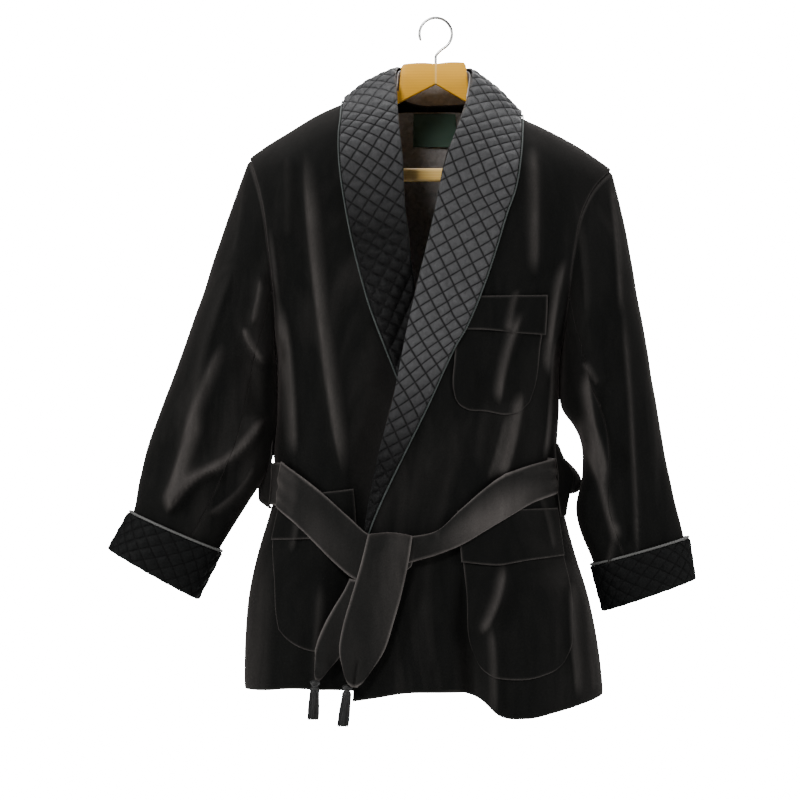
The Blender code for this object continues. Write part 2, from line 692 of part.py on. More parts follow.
LEFT_LAPEL = [
    # x and drop of the roll line, x and drop of the outer edge
    (-0.0815, 0.640, -0.0770, 0.645),
    (-0.0790, 0.620, -0.0700, 0.620),
    (-0.0755, 0.590, -0.0570, 0.588),
    (-0.0670, 0.545, -0.0360, 0.546),
    (-0.0570, 0.498, -0.0105, 0.494),
    (-0.0475, 0.452, 0.0155, 0.437),
    (-0.0385, 0.405, 0.0370, 0.397),
    (-0.0270, 0.355, 0.0560, 0.352),
    (-0.0150, 0.305, 0.0720, 0.305),
    (-0.0045, 0.260, 0.0860, 0.260),
    (0.0060, 0.210, 0.0985, 0.222),
    (0.0170, 0.170, 0.1050, 0.185),
]
RIGHT_LAPEL = [
    (0.0300, 0.610, 0.0250, 0.613),
    (0.0230, 0.570, 0.0110, 0.573),
    (0.0110, 0.520, -0.0140, 0.527),
    (-0.0010, 0.470, -0.0380, 0.484),
    (-0.0120, 0.425, -0.0600, 0.433),
    (-0.0220, 0.375, -0.0790, 0.384),
    (-0.0300, 0.330, -0.0935, 0.335),
    (-0.0360, 0.280, -0.1060, 0.284),
    (-0.0402, 0.235, -0.1150, 0.236),
    (-0.0420, 0.190, -0.1210, 0.190),
    (-0.0460, 0.152, -0.1220, 0.158),
]
NECK = {
    # fold line x, y, drop, outer edge x, y, drop, and how far the fall bulges between them
    -1: [
        (-0.0485, -0.055, 0.122, -0.1200, -0.038, 0.134, 0.003),
        (-0.0500, -0.028, 0.094, -0.1180, -0.012, 0.1065, 0.005),
        (-0.0500, 0.004, 0.074, -0.1150, 0.012, 0.1070, 0.008),
        (-0.0450, 0.032, 0.066, -0.1000, 0.052, 0.1230, 0.010),
        (-0.0290, 0.051, 0.063, -0.0620, 0.074, 0.1280, 0.009),
        (-0.0050, 0.058, 0.062, -0.0120, 0.083, 0.1290, 0.007),
    ],
    1: [
        (0.0300, -0.067, 0.138, 0.1080, -0.048, 0.152, 0.002),
        (0.0395, -0.042, 0.110, 0.1095, -0.018, 0.1235, 0.005),
        (0.0450, -0.010, 0.084, 0.1080, 0.008, 0.1225, 0.008),
        (0.0440, 0.022, 0.070, 0.0960, 0.046, 0.1340, 0.010),
        (0.0290, 0.047, 0.064, 0.0620, 0.070, 0.1330, 0.009),
        (0.0080, 0.057, 0.062, 0.0180, 0.082, 0.1300, 0.008),
        (-0.0050, 0.058, 0.062, -0.0120, 0.083, 0.1290, 0.007),
    ],
}
LAPEL_WALL = 0.0022


def shawl(side):
    """A half collar, from its point at along 0 to the centre back at 1, and from the fold at across 0 to its edge."""
    lapel = LEFT_LAPEL if side > 0 else RIGHT_LAPEL
    rows = []
    for fold_x, fold_drop, edge_x, edge_drop in lapel:
        fold_y = float(front_y(side, np.float64(fold_x), np.float64(fold_drop)))
        edge_y = float(front_y(side, np.float64(edge_x), np.float64(edge_drop)))
        rows.append((fold_x, fold_y, fold_drop, edge_x, edge_y, edge_drop, 0.0))
    laid = len(rows)
    rows += NECK[side]
    middles = np.array([[(r[0] + r[3]) / 2, (r[1] + r[4]) / 2, (r[2] + r[5]) / 2] for r in rows])
    fold = np.array([r[:3] for r in rows])
    length = np.cumsum(np.concatenate([[0], np.linalg.norm(np.diff((middles + fold) / 2, axis=0), axis=1)]))
    stops = length / length[-1]
    lay_end = stops[laid - 1]

    def surface(across, along):
        fold_x, fold_y, fold_drop, edge_x, edge_y, edge_drop, bulge = (through(along, stops, column(rows, k)) for k in range(7))
        x = fold_x + (edge_x - fold_x) * across
        y = fold_y + (edge_y - fold_y) * across
        drop = fold_drop + (edge_drop - fold_drop) * across
        on_front = front_y(side, x, drop)
        hill = np.sin(np.pi * np.clip(across, 0, 1)) * bulge
        free = unit(np.stack([0.6 * side * (edge_x - fold_x) * side, edge_y - fold_y + 0 * across, 0.06 + 0 * drop], axis=-1))
        arch = np.stack([x, y, -drop], axis=-1) + free * hill[..., None]
        past_roll = soft_step(side * (arch[..., 0] - roll_x(side, -arch[..., 2])) / 0.015)
        in_front = np.minimum(arch[..., 1], front_y(side, arch[..., 0], -arch[..., 2]))
        behind = np.maximum(arch[..., 1], body_y(1, arch[..., 0], -arch[..., 2]))
        below_seam = soft_step((-arch[..., 2] - BACK_NECK_DROP) / 0.008)
        outside = np.where(fold_y + edge_y < 0, (in_front - arch[..., 1]) * past_roll, (behind - arch[..., 1]) * below_seam)
        arch[..., 1] += np.where(-arch[..., 2] > over_ridge(arch[..., 0]), outside, 0)
        lay = soft_step((lay_end + 0.04 - along) / 0.06)
        flat = np.stack([x, on_front, -drop], axis=-1)
        return arch + (flat - arch) * lay[..., None]

    return surface, length[-1], stops, rows


def quilted_sheet(name, surface, length, width, material, out, below, gap):
    """A piece quilted in squares set corner up: seams run both ways, and each square stands up in its middle."""
    stations = np.linspace(0, length, 60)
    edge = [(a, 0.0) for a in stations] + [(a, width(a)) for a in stations[::-1]]
    points = [Vector(p) for p in edge]
    rim = [(i, (i + 1) % len(edge)) for i in range(len(edge))]
    seams = []
    reach = 0.11
    pitch = 2 * QUILT_HALF
    for k in range(int(-reach / pitch) - 1, int((length + reach) / pitch) + 2):
        for lean in (1, -1):
            inside = []
            for b in np.linspace(0, reach, 220):
                a = k * pitch + lean * b
                if 0.002 < a < length - 0.002 and 0.0012 < b < width(a) - 0.0012:
                    inside.append((a, b))
            if len(inside) > 3:
                seams.append((len(points), len(points) + 1))
                points += [Vector(inside[0]), Vector(inside[-1])]
    tops = []
    for i in range(int(length / QUILT_HALF) + 2):
        for j in range(int(reach / QUILT_HALF) + 1):
            a, b = i * QUILT_HALF, j * QUILT_HALF
            if (i + j) % 2 == 1 and 0.004 < a < length - 0.004 and 0.003 < b < width(a) - 0.003:
                tops.append((a, b))
    points += [Vector(p) for p in tops]
    flat, _, faces, _, _, _ = delaunay_2d_cdt(points, rim + seams, [], 1, 1e-5)
    flat = np.array([tuple(p) for p in flat])
    raised = np.zeros(len(flat))
    for a, b in tops:
        raised[np.argmin(np.hypot(flat[:, 0] - a, flat[:, 1] - b))] = 1
    along = flat[:, 0] / length
    across = flat[:, 1] / np.array([width(a) for a in flat[:, 0]])
    way = normals(surface, across, along, out)
    inner = surface(across, along) + way * gap
    inner = settle(inner, faces, below, 0.0008, 30)
    outer = inner + way * (LAPEL_WALL + QUILT_PUFF * raised)[:, None]
    keep_sheet(name, outer, faces, way)
    return wall_from(name, outer, inner, faces, material), (inner, way, across, along)


# The collar's stand, from the neck seam up to the fold, and the lining inside the back

STAND_WALL = 0.0022


NECK_SEAM = [
    # x, drop and facing of points on the neck seam, from the right front to the left one
    (-0.0590, 0.0965, -1),
    (-0.0640, 0.0895, 1),
    (-0.0560, 0.0990, 1),
    (-0.0350, 0.1040, 1),
    (-0.0050, 0.1055, 1),
    (0.0180, 0.1055, 1),
    (0.0380, 0.1055, 1),
    (0.0520, 0.1050, 1),
    (0.0620, 0.1050, 1),
    (0.0565, 0.1085, -1),
]


def collar_stand(across, along):
    fold = np.array([r[:3] for r in NECK[-1][1:]] + [r[:3] for r in NECK[1][-2:0:-1]])
    seam = np.array([(x, float(body_y(facing, np.float64(x), np.float64(drop))), drop) for x, drop, facing in NECK_SEAM])

    def inside(line, distance, lower):
        stops = np.linspace(0, 1, len(line))
        place = np.stack([through(across, stops, line[:, k]) for k in range(3)], axis=-1)
        inward = (np.array([0, 0.005, 0]) - place) * np.array([1, 1, 0])
        return place + unit(inward) * distance + np.array([0, 0, lower])

    at_fold = inside(fold, 0.0010, 0.0012)
    at_seam = inside(seam, 0.0028, -0.0034)
    return (at_fold + (at_seam - at_fold) * along[..., None]) * np.array([1, 1, -1])


wall("collar_stand", collar_stand, np.linspace(0, 1, 19), np.linspace(0, 1, 3), STAND_WALL, LINING, 1)


def inside_back(across, along):
    """The lining's face just inside the two halves of the back, which the open front shows."""
    x = -0.115 + 0.215 * across
    drop = 0.113 + 0.020 * np.abs(2 * across - 1) ** 3 + (0.330) * along
    return np.stack([x, body_y(1, x, drop), -drop], axis=-1)


def lining():
    across, along = np.meshgrid(np.linspace(0, 1, 11), np.linspace(0, 1, 11), indexing="ij")
    way = normals(inside_back, across, along, 1)
    base = inside_back(across, along)
    faces = grid_faces(*across.shape, 0, False)
    start = (base - way * (CLOTH + 0.0006)).reshape(-1, 3)
    outer = settle(start, faces, ["back_left inside", "back_right inside"], SEAM + 0.0001)
    inner = outer - way.reshape(-1, 3) * 0.0012
    keep_sheet("back_lining inside", inner, faces, -way)
    wall_from("back_lining", outer, inner, faces, LINING)


def label():
    """A small plain square of ribbon on the lining below the neck."""
    across, along = np.meshgrid(np.linspace(0.40, 0.666, 5), np.linspace(0.02, 0.155, 4), indexing="ij")
    way = normals(inside_back, across, along, 1)
    faces = grid_faces(*across.shape, 0, False)
    start = (inside_back(across, along) - way * (CLOTH + 0.0024)).reshape(-1, 3)
    outer = settle(start, faces, ["back_lining inside"], SEAM + 0.0001)
    wall_from("neck_label", outer, outer - way.reshape(-1, 3) * 0.0006, faces, LABEL)


lining()
label()


# Pockets, laid on the fronts

POCKET_WALL = 0.0018


TIPS = {}


def patch(name, face_y, outline, below, thickness=POCKET_WALL, spacing=0.021, gap=LAID_ON):
    """A flat piece laid on a front, from its outline's corners in x and drop."""
    outline = np.array(outline)
    rim = []
    for start, end in zip(outline, np.roll(outline, -1, axis=0)):
        steps = max(1, int(round(np.hypot(*(end - start)) / spacing)))
        rim += [start + (end - start) * k / steps for k in range(steps)]
    rim = np.array(rim)
    low, high = rim.min(axis=0), rim.max(axis=0)
    inside = []
    for x in np.arange(low[0] + spacing / 2, high[0], spacing):
        for drop in np.arange(low[1] + spacing / 2, high[1], spacing):
            after = np.roll(rim, -1, axis=0)
            crossing = (rim[:, 1] > drop) != (after[:, 1] > drop)
            reach = rim[:, 0] + (drop - rim[:, 1]) / np.where(crossing, after[:, 1] - rim[:, 1], 1) * (after[:, 0] - rim[:, 0])
            near = np.hypot(*(rim - (x, drop)).T).min()
            if np.count_nonzero(crossing & (x < reach)) % 2 and near > spacing * 0.5:
                inside.append((x, drop))
    points = [Vector(p) for p in [*rim, *inside]]
    edges = [(i, (i + 1) % len(rim)) for i in range(len(rim))]
    flat, _, faces, _, _, _ = delaunay_2d_cdt(points, edges, [], 1, 1e-6)
    flat = np.array([tuple(p) for p in flat])
    x, drop = flat[:, 0], flat[:, 1]

    def place(x, drop):
        return np.stack([x, face_y(x, drop), -drop], axis=-1)

    way = unit(np.cross(place(x + STEP, drop) - place(x - STEP, drop), place(x, drop - STEP) - place(x, drop + STEP)))
    way = way * np.where(way[:, 1:2] > 0, -1, 1)
    inner = settle(place(x, drop) + way * gap, faces, below, SEAM + 0.0004, 30)
    outer = inner + way * thickness
    keep_sheet(name, outer, faces, way)
    lowest = np.argmin(outer[:, 2])
    TIPS[name] = (outer[lowest] + inner[lowest]) / 2
    return wall_from(name, outer, inner, faces, VELVET)


BREAST_POCKET = [
    (0.0280, 0.364), (0.1385, 0.362), (0.1345, 0.405), (0.1325, 0.420), (0.1265, 0.470), (0.1225, 0.488),
    (0.1125, 0.4995), (0.0990, 0.5080), (0.0880, 0.5090), (0.0620, 0.5050), (0.0400, 0.5030), (0.0270, 0.4950),
    (0.0210, 0.4800), (0.0225, 0.440), (0.0260, 0.400),
]
BREAST_BAND = [(0.0275, 0.360), (0.1405, 0.358), (0.1385, 0.4085), (0.1000, 0.4060), (0.0600, 0.4020), (0.0275, 0.4020)]
HIP_POCKET_LEFT = [
    (0.0290, 0.640), (0.1560, 0.636), (0.1640, 0.692), (0.1700, 0.7200), (0.1735, 0.7680), (0.1700, 0.8050),
    (0.1580, 0.8260), (0.1330, 0.8375), (0.1020, 0.8420), (0.0680, 0.8365), (0.0515, 0.8225), (0.0425, 0.7990),
    (0.0375, 0.7340), (0.0330, 0.6900),
]
HIP_BAND_LEFT = [(0.0260, 0.6300), (0.1560, 0.6280), (0.1640, 0.6880), (0.1190, 0.6930), (0.0780, 0.6985), (0.0315, 0.6950)]
HIP_POCKET_RIGHT = [
    (-0.2000, 0.620), (-0.1050, 0.612), (-0.1020, 0.660), (-0.1090, 0.720), (-0.1130, 0.770), (-0.1200, 0.7950),
    (-0.1400, 0.8065), (-0.1580, 0.8070), (-0.1740, 0.8020), (-0.1960, 0.7870), (-0.2030, 0.7700), (-0.2060, 0.720),
    (-0.2090, 0.6700),
]
HIP_BAND_RIGHT = [(-0.1990, 0.6130), (-0.1045, 0.6030), (-0.1005, 0.6600), (-0.1500, 0.6655), (-0.2110, 0.6685)]



def on_left(x, drop):
    return front_y(1, x, drop)


def on_right(x, drop):
    return front_y(-1, x, drop)


patch("breast_pocket", on_left, BREAST_POCKET, ["front_left"])
patch("breast_pocket_band", on_left, BREAST_BAND, ["front_left", "breast_pocket"], gap=0.0026)
patch("hip_pocket_left", on_left, HIP_POCKET_LEFT, ["front_left"])
patch("hip_band_left", on_left, HIP_BAND_LEFT, ["front_left", "hip_pocket_left"], gap=0.0026)
patch("hip_pocket_right", on_right, HIP_POCKET_RIGHT, ["front_right"])
patch("hip_band_right", on_right, HIP_BAND_RIGHT, ["front_right", "hip_pocket_right"], gap=0.0026)


# The collar goes on once the breast pocket is there, which it covers in part

PIPING = 0.0013
PIPING_POINTS = 54


def collar_half(side, name, below):
    surface, length, stops, rows = shawl(side)
    widths = [float(np.linalg.norm(np.array(r[3:6]) - np.array(r[:3]))) for r in rows]

    def width(a):
        return float(through(a / length, stops, widths))

    def trimmed(across, along):
        return surface(across, along * (1 - 0.5 * SEAM / length) - 0.0003)

    quilted_sheet(f"shawl_{name}", trimmed, length, width, SATIN, side, below, LAID_ON)
    along = np.linspace(0.012, 0.997, PIPING_POINTS)
    edge = surface(np.ones(PIPING_POINTS), along)
    beyond = unit(edge - surface(np.full(PIPING_POINTS, 0.97), along))
    way = normals(surface, np.ones(PIPING_POINTS), along, side)
    path = edge + beyond * (PIPING + SEAM + 0.0009) + way * (LAID_ON + 0.0010)
    path = settle(path, [(i, i, i) for i in range(PIPING_POINTS)], below, PIPING + 0.0013)
    tube(f"piping_{name}", path, PIPING, 4, BRAID)


collar_half(-1, "right", ["front_right", "back_right"])
collar_half(1, "left", ["front_left", "back_left", "breast_pocket", "breast_pocket_band"])


# The belt: round the back, down to the knot from both sides, and two hanging ends

BELT_WALL = 0.0030
BELT_JOIN = np.radians(16)  # how far the back part comes round to the front at each side


def on_both(x, drop):
    """The y of whichever front is outermost."""
    left_laps = soft_step((x - roll_x(1, drop) + 0.010) / 0.010)
    return front_y(-1, x, drop) * (1 - left_laps) + front_y(1, x, drop) * left_laps


def belt_round(across, along):
    turn = -BELT_JOIN + (np.pi + 2 * BELT_JOIN) * across
    top = 0.570 - 0.006 * across**4
    drop = top + (0.0565 - 0.012 * across**4) * along
    middle = (body_side(1, drop) + body_side(-1, drop)) / 2
    half = (body_side(1, drop) - body_side(-1, drop)) / 2
    reach = np.sign(np.cos(turn)) * np.abs(np.cos(turn)) ** (2 / ROUNDNESS)
    deep = np.sign(np.sin(turn)) * np.abs(np.sin(turn)) ** (2 / ROUNDNESS)
    depth = np.where(turn > 0, body_depth(1, drop), body_depth(-1, drop))
    depth = np.where((turn > np.pi), body_depth(-1, drop), depth)
    return np.stack([middle - half * reach, depth * deep, -drop], axis=-1)


def belt_back():
    across, along = np.meshgrid(np.linspace(0, 1, 29), np.linspace(0, 1, 3), indexing="ij")
    way = normals(belt_round, across, along, 1).reshape(-1, 3)
    faces = grid_faces(29, 3, 0, False)
    start = belt_round(across, along).reshape(-1, 3) + way * 0.001
    inner = settle(start, faces, ["front_right", "back_right", "back_left", "front_left"], SEAM + 0.0004)
    outer = inner + way * BELT_WALL
    keep_sheet("belt_back", outer, faces, way)
    wall_from("belt_back", outer, inner, faces, VELVET)


belt_back()

BELT_RUN_RIGHT = [
    (-0.1955, 0.5700), (-0.1680, 0.5900), (-0.1400, 0.6120), (-0.1120, 0.6370), (-0.0870, 0.6583), (-0.0600, 0.6690),
    (-0.0480, 0.6900), (-0.0620, 0.7100), (-0.0850, 0.7180), (-0.1041, 0.7159), (-0.1280, 0.6960), (-0.1520, 0.6730), (-0.1780, 0.6470),
    (-0.1975, 0.6265),
]
BELT_RUN_LEFT = [
    (0.1465, 0.5650), (0.1485, 0.6080), (0.1250, 0.6200), (0.0986, 0.6349), (0.0650, 0.6540), (0.0307, 0.6737),
    (0.0000, 0.6890), (-0.0243, 0.6980), (-0.0420, 0.7020), (-0.0520, 0.6820), (-0.0400, 0.6640), (-0.0200, 0.6610),
    (-0.0038, 0.6583), (0.0307, 0.6276), (0.0560, 0.6060), (0.0781, 0.5900), (0.1150, 0.5740),
]
BELT_KNOT = [
    (-0.0860, 0.6640), (-0.0700, 0.6560), (-0.0450, 0.6550), (-0.0260, 0.6620), (-0.0240, 0.6800), (-0.0300, 0.7000),
    (-0.0480, 0.7160), (-0.0700, 0.7230), (-0.0880, 0.7180), (-0.0930, 0.7000),
]
BELT_END_UNDER = [
    (-0.1000, 0.7120), (-0.0700, 0.7260), (-0.0800, 0.7450), (-0.1000, 0.7850), (-0.1180, 0.8150), (-0.1360, 0.8360),
    (-0.1480, 0.8450), (-0.1525, 0.8420), (-0.1555, 0.8260), (-0.1540, 0.8090), (-0.1472, 0.7885), (-0.1267, 0.7505),
    (-0.1092, 0.7270),
]
BELT_END_FRONT = [
    (-0.0870, 0.6600), (-0.0700, 0.6560), (-0.0450, 0.6560), (-0.0230, 0.6620), (-0.0324, 0.6760), (-0.0410, 0.7197),
    (-0.0550, 0.7748), (-0.0682, 0.8157), (-0.0858, 0.8397), (-0.1020, 0.8515), (-0.1092, 0.8490), (-0.1194, 0.8260),
    (-0.1229, 0.8017), (-0.1165, 0.7645), (-0.1024, 0.7197), (-0.0900, 0.6800),
]
FRONTS = ["front_right", "front_left"]
ON_RIGHT = [*FRONTS, "hip_pocket_right", "hip_band_right"]
ON_LEFT = [*FRONTS, "hip_pocket_left", "hip_band_left", "shawl_left"]
patch("belt_run_right", on_both, BELT_RUN_RIGHT, ON_RIGHT + ["shawl_left"], BELT_WALL, gap=0.004)
patch("belt_run_left", on_both, BELT_RUN_LEFT, ON_LEFT + ["belt_run_right"], BELT_WALL, gap=0.004)
patch("belt_end_under", on_both, BELT_END_UNDER, ON_RIGHT + ["belt_run_right"], BELT_WALL, gap=0.004)
patch("belt_knot", on_both, BELT_KNOT, [*FRONTS, "belt_run_right", "belt_run_left", "belt_end_under"], 0.006, 0.014, 0.0125)
patch("belt_end_front", on_both, BELT_END_FRONT, ON_RIGHT + ["belt_run_right", "belt_run_left", "belt_knot", "belt_end_under"], BELT_WALL, 0.016, 0.0095)

LOOP_WIDTH = 0.011
LOOP_TOP = 0.545
LOOP_FOOT = 0.648


def belt_loop(side):
    def surface(across, along):
        drop = LOOP_TOP + (LOOP_FOOT - LOOP_TOP) * along
        stand = 0.0024 + 0.0092 * soft_step(along / 0.2) * soft_step((1 - along) / 0.2)
        return np.stack([body_side(side, drop) + side * stand, LOOP_WIDTH * (across - 0.5), -drop], axis=-1)

    return surface


for side, name in ((-1, "right"), (1, "left")):
    loop_along = np.array([0, 0.08, 0.16, 0.3, 0.5, 0.7, 0.84, 0.92, 1])
    wall(f"belt_loop_{name}", belt_loop(side), np.linspace(0, 1, 3), loop_along, 0.0016, VELVET, -side)


# Tassels on the belt's ends

TASSEL_HEAD = 0.0046
TASSEL_STRANDS = 4


def tassel(name, tip, foot_x, foot_drop):
    """A small turned head just below a belt's tip, and strands that grow out of its lower face and spread a little."""
    top = tip + np.array([0, 0, -0.0007])
    foot = np.array([foot_x, top[1] - 0.001, -foot_drop])
    axis = unit(foot - top)
    made = bmesh.new()
    corners = {}
    side = np.linspace(-1, 1, TASSEL_STRANDS + 1)
    for level, (drop, radius) in enumerate(((0.0, 0.0018), (0.003, TASSEL_HEAD), (0.009, TASSEL_HEAD * 0.85), (0.013, TASSEL_HEAD))):
        for i, u in enumerate(side):
            for k, v in enumerate(side):
                edge = i in (0, TASSEL_STRANDS) or k in (0, TASSEL_STRANDS)
                if edge or level in (0, 3):
                    round_u, round_v = u * np.sqrt(1 - v * v / 2), v * np.sqrt(1 - u * u / 2)
                    place = top + axis * drop + np.array([round_u * radius, round_v * radius, 0])
                    corners[level, i, k] = made.verts.new(place.tolist())
    last = TASSEL_STRANDS
    rim = [(i, 0) for i in range(last)] + [(last, k) for k in range(last)]
    rim += [(i, last) for i in range(last, 0, -1)] + [(0, k) for k in range(last, 0, -1)]
    for level in range(3):
        for (i, k), (m, n) in zip(rim, rim[1:] + rim[:1]):
            made.faces.new([corners[level, i, k], corners[level + 1, i, k], corners[level + 1, m, n], corners[level, m, n]])
    roots = []
    for i in range(last):
        for k in range(last):
            ring = [(i, k), (i + 1, k), (i + 1, k + 1), (i, k + 1)]
            made.faces.new([corners[0, a, b] for a, b in ring])
            roots.append(made.faces.new([corners[3, a, b] for a, b in ring[::-1]]))
    bmesh.ops.recalc_face_normals(made, faces=made.faces)
    bmesh.ops.inset_individual(made, faces=roots, thickness=0.00018)
    length = np.linalg.norm(foot - top) - 0.013
    for count, face in enumerate(roots):
        spread = np.array(face.calc_center_median()) - (top + axis * 0.013)
        for share in (0.5, 0.5):
            grown = bmesh.ops.extrude_discrete_faces(made, faces=[face])
            face = grown["faces"][0]
            jitter = 0.0012 * np.array([np.sin(count * 2.4), np.cos(count * 1.7), np.sin(count * 3.1) * 1.5])
            shift = axis * length * share + spread * 0.35 + jitter * share
            bmesh.ops.translate(made, verts=list(face.verts), vec=shift.tolist())
    bmesh.ops.triangulate(made, faces=made.faces)
    mesh = bpy.data.meshes.new(name)
    made.to_mesh(mesh)
    made.free()
    mesh.materials.append(BRAID)
    bpy.context.scene.collection.objects.link(bpy.data.objects.new(name, mesh))


tassel("tassel_front", TIPS["belt_end_front"], -0.1165, 0.9010)
tassel("tassel_under", TIPS["belt_end_under"], -0.1555, 0.8925)


# The hanger that the jacket hangs from

ARMS = [
    # x, how far the arm's top lies below the shoulder's ridge, drop of its underside, half thickness
    (-0.2240, 0.0110, 0.1900, 0.014),
    (-0.2190, 0.0062, 0.1917, 0.017),
    (-0.2050, 0.0052, 0.1917, 0.018),
    (-0.1880, 0.0052, 0.1860, 0.018),
    (-0.1700, 0.0052, 0.1760, 0.017),
    (-0.1540, 0.0052, 0.1650, 0.016),
    (-0.1340, 0.0047, 0.1550, 0.014),
    (-0.1140, 0.0047, 0.1450, 0.012),
    (-0.0900, 0.0041, 0.1320, 0.01),
    (-0.0680, 0.0041, 0.1190, 0.009),
    (-0.0480, 0.0093, 0.1087, 0.0075),
    (-0.0440, -0.0218, 0.1065, 0.0075),
    (-0.0410, -0.0243, 0.1050, 0.0075),
    (0.0000, -0.0210, 0.0840, 0.0075),
    (0.0365, -0.0336, 0.1055, 0.0075),
    (0.0390, -0.0309, 0.1068, 0.0075),
    (0.0430, 0.0100, 0.1150, 0.0075),
    (0.0640, 0.0041, 0.1290, 0.009),
    (0.0850, 0.0041, 0.1440, 0.01),
    (0.1060, 0.0047, 0.1580, 0.012),
    (0.1270, 0.0047, 0.1700, 0.014),
    (0.1480, 0.0052, 0.1800, 0.016),
    (0.1700, 0.0052, 0.1914, 0.017),
    (0.1745, 0.0052, 0.2040, 0.018),
    (0.1960, 0.0052, 0.2080, 0.018),
    (0.2100, 0.0100, 0.2060, 0.014),
]
BAR = {"from": -0.2200, "to": 0.1698, "top": 0.1920, "foot": 0.2095, "half": 0.0065}
WIRE = 0.0019
HOOK_BEND = 0.0190  # inner radius of the hook


def bar_of(name, rows, material):
    """A bar with eight-sided sections, each from its x, top, underside and half thickness."""
    points, faces = [], []
    for x, top, foot, half in rows:
        cut = min(half, (foot - top) / 2) * 0.6
        for y, drop in (
            (-half + cut, top), (half - cut, top), (half, top + cut), (half, foot - cut),
            (half - cut, foot), (-half + cut, foot), (-half, foot - cut), (-half, top + cut),
        ):
            points.append((x, y, -drop))
    for i in range(len(rows) - 1):
        for k in range(8):
            a, b = i * 8 + k, i * 8 + (k + 1) % 8
            faces += [(a, b, b + 8), (a, b + 8, a + 8)]
    faces.append(tuple(range(8))[::-1])
    faces.append(tuple(range(8 * len(rows) - 8, 8 * len(rows))))
    add_object(name, points, faces, material)


bar_of("hanger_arms", [(x, float(over_ridge(x)) + below, foot, half) for x, below, foot, half in ARMS], WOOD)
bar_of("trouser_bar", [(x, BAR["top"], BAR["foot"], BAR["half"]) for x in (BAR["from"], BAR["to"])], WOOD)

bend = np.radians(np.linspace(-60, 205, 22))
curl = [((HOOK_BEND + WIRE) * np.cos(a), 0, -HOOK_BEND + (HOOK_BEND + WIRE) * np.sin(a)) for a in bend]
stem = [(0, 0, -0.058 + SEAM), (0, 0, -0.0500), (0.0012, 0, -0.0445), (0.0050, 0, -0.0395)]
tube("hanger_hook", [*stem, *curl], WIRE, 8, STEEL, upright=(0, 1, 0))
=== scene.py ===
"""A black velvet smoking jacket on its wooden hanger: quilted shawl collar and cuffs, patch pockets, and
a tied belt with tassels. Metres, +Z up, the front towards -Y. Heights are written as drops below the
rail."""

import bpy
import numpy as np
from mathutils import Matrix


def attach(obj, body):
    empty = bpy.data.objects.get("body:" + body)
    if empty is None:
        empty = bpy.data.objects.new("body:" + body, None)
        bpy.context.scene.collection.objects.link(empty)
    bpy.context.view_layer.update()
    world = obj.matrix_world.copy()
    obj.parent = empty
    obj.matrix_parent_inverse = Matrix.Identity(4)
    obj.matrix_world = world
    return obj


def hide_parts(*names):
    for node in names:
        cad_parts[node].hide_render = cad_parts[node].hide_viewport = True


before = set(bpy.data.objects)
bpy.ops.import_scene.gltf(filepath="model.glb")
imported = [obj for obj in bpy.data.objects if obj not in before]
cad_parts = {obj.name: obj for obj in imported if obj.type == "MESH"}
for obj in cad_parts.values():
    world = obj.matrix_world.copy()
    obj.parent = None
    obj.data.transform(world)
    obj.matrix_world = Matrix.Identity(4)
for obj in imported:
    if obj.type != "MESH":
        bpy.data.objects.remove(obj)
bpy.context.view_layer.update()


# The view, the light and the floor
# A camera level with the jacket's middle looks straight at its front, as the photograph does.
# Two big soft lamps and a pale surround light it, and a pale floor lies well below the hem.

PICTURE_WIDTH = 1.024  # what the picture shows at the jacket, m
VIEW_DISTANCE = 4.5
VIEW_CENTRE = (-0.046, -0.4906)
FLOOR_DROP = 1.35
FLOOR_RADIUS = 2.3
FACE_DEPTH = 0.03  # how far in front of the rail the jacket's face lies
LIT_BY, SEEN_AS = 0.09, 22.0  # strength of the surround as light, and as what the picture shows behind
FLOOR_COLUMNS, FLOOR_ROWS = 96, 14

lens = bpy.data.cameras.new("front_view")
lens.sensor_width = 36.0
lens.lens = lens.sensor_width * VIEW_DISTANCE / PICTURE_WIDTH
camera = bpy.data.objects.new("front_view", lens)
camera.location = (VIEW_CENTRE[0], -VIEW_DISTANCE - FACE_DEPTH, VIEW_CENTRE[1])
camera.rotation_euler = (np.pi / 2, 0, 0)
bpy.context.scene.collection.objects.link(camera)
bpy.context.scene.camera = camera


def softbox(name, place, turned, size, power):
    """A four-sided lamp at a place, turned by tilt and swing in degrees: tilt 90 and swing 0 shines
    towards +Y."""
    lamp = bpy.data.lights.new(name, "AREA")
    lamp.shape = "RECTANGLE"
    lamp.size, lamp.size_y = size
    lamp.energy = power
    box = bpy.data.objects.new(name, lamp)
    box.location = place
    box.rotation_euler = (np.radians(turned[0]), 0, np.radians(turned[1]))
    bpy.context.scene.collection.objects.link(box)


softbox("key_lamp", (-0.9, -2.3, 1.3), (52, -20), (0.7, 0.7), 60)
softbox("left_strip", (-2.1, -0.9, -0.2), (86, -66), (0.5, 1.6), 32)
softbox("right_strip", (2.1, -0.9, -0.2), (86, 66), (0.5, 1.6), 34)
softbox("top_lamp", (0.0, 0.4, 1.5), (-14, 0), (2.2, 1.0), 46)
softbox("back_lamp", (0.6, 2.6, 0.4), (-72, -12), (2.0, 1.8), 60)


def plug(tree, made, sockets):
    """Fills a node's inputs by name or number, each with a value or with another node's output."""
    for name, value in sockets.items():
        if isinstance(value, bpy.types.NodeSocket):
            tree.links.new(value, made.inputs[name])
        else:
            made.inputs[name].default_value = value


def node(tree, kind, sockets=None, **settings):
    """One shader node with its settings, and its inputs filled from sockets."""
    made = tree.nodes.new("ShaderNode" + kind)
    for setting, value in settings.items():
        setattr(made, setting, value)
    plug(tree, made, sockets or {})
    return made


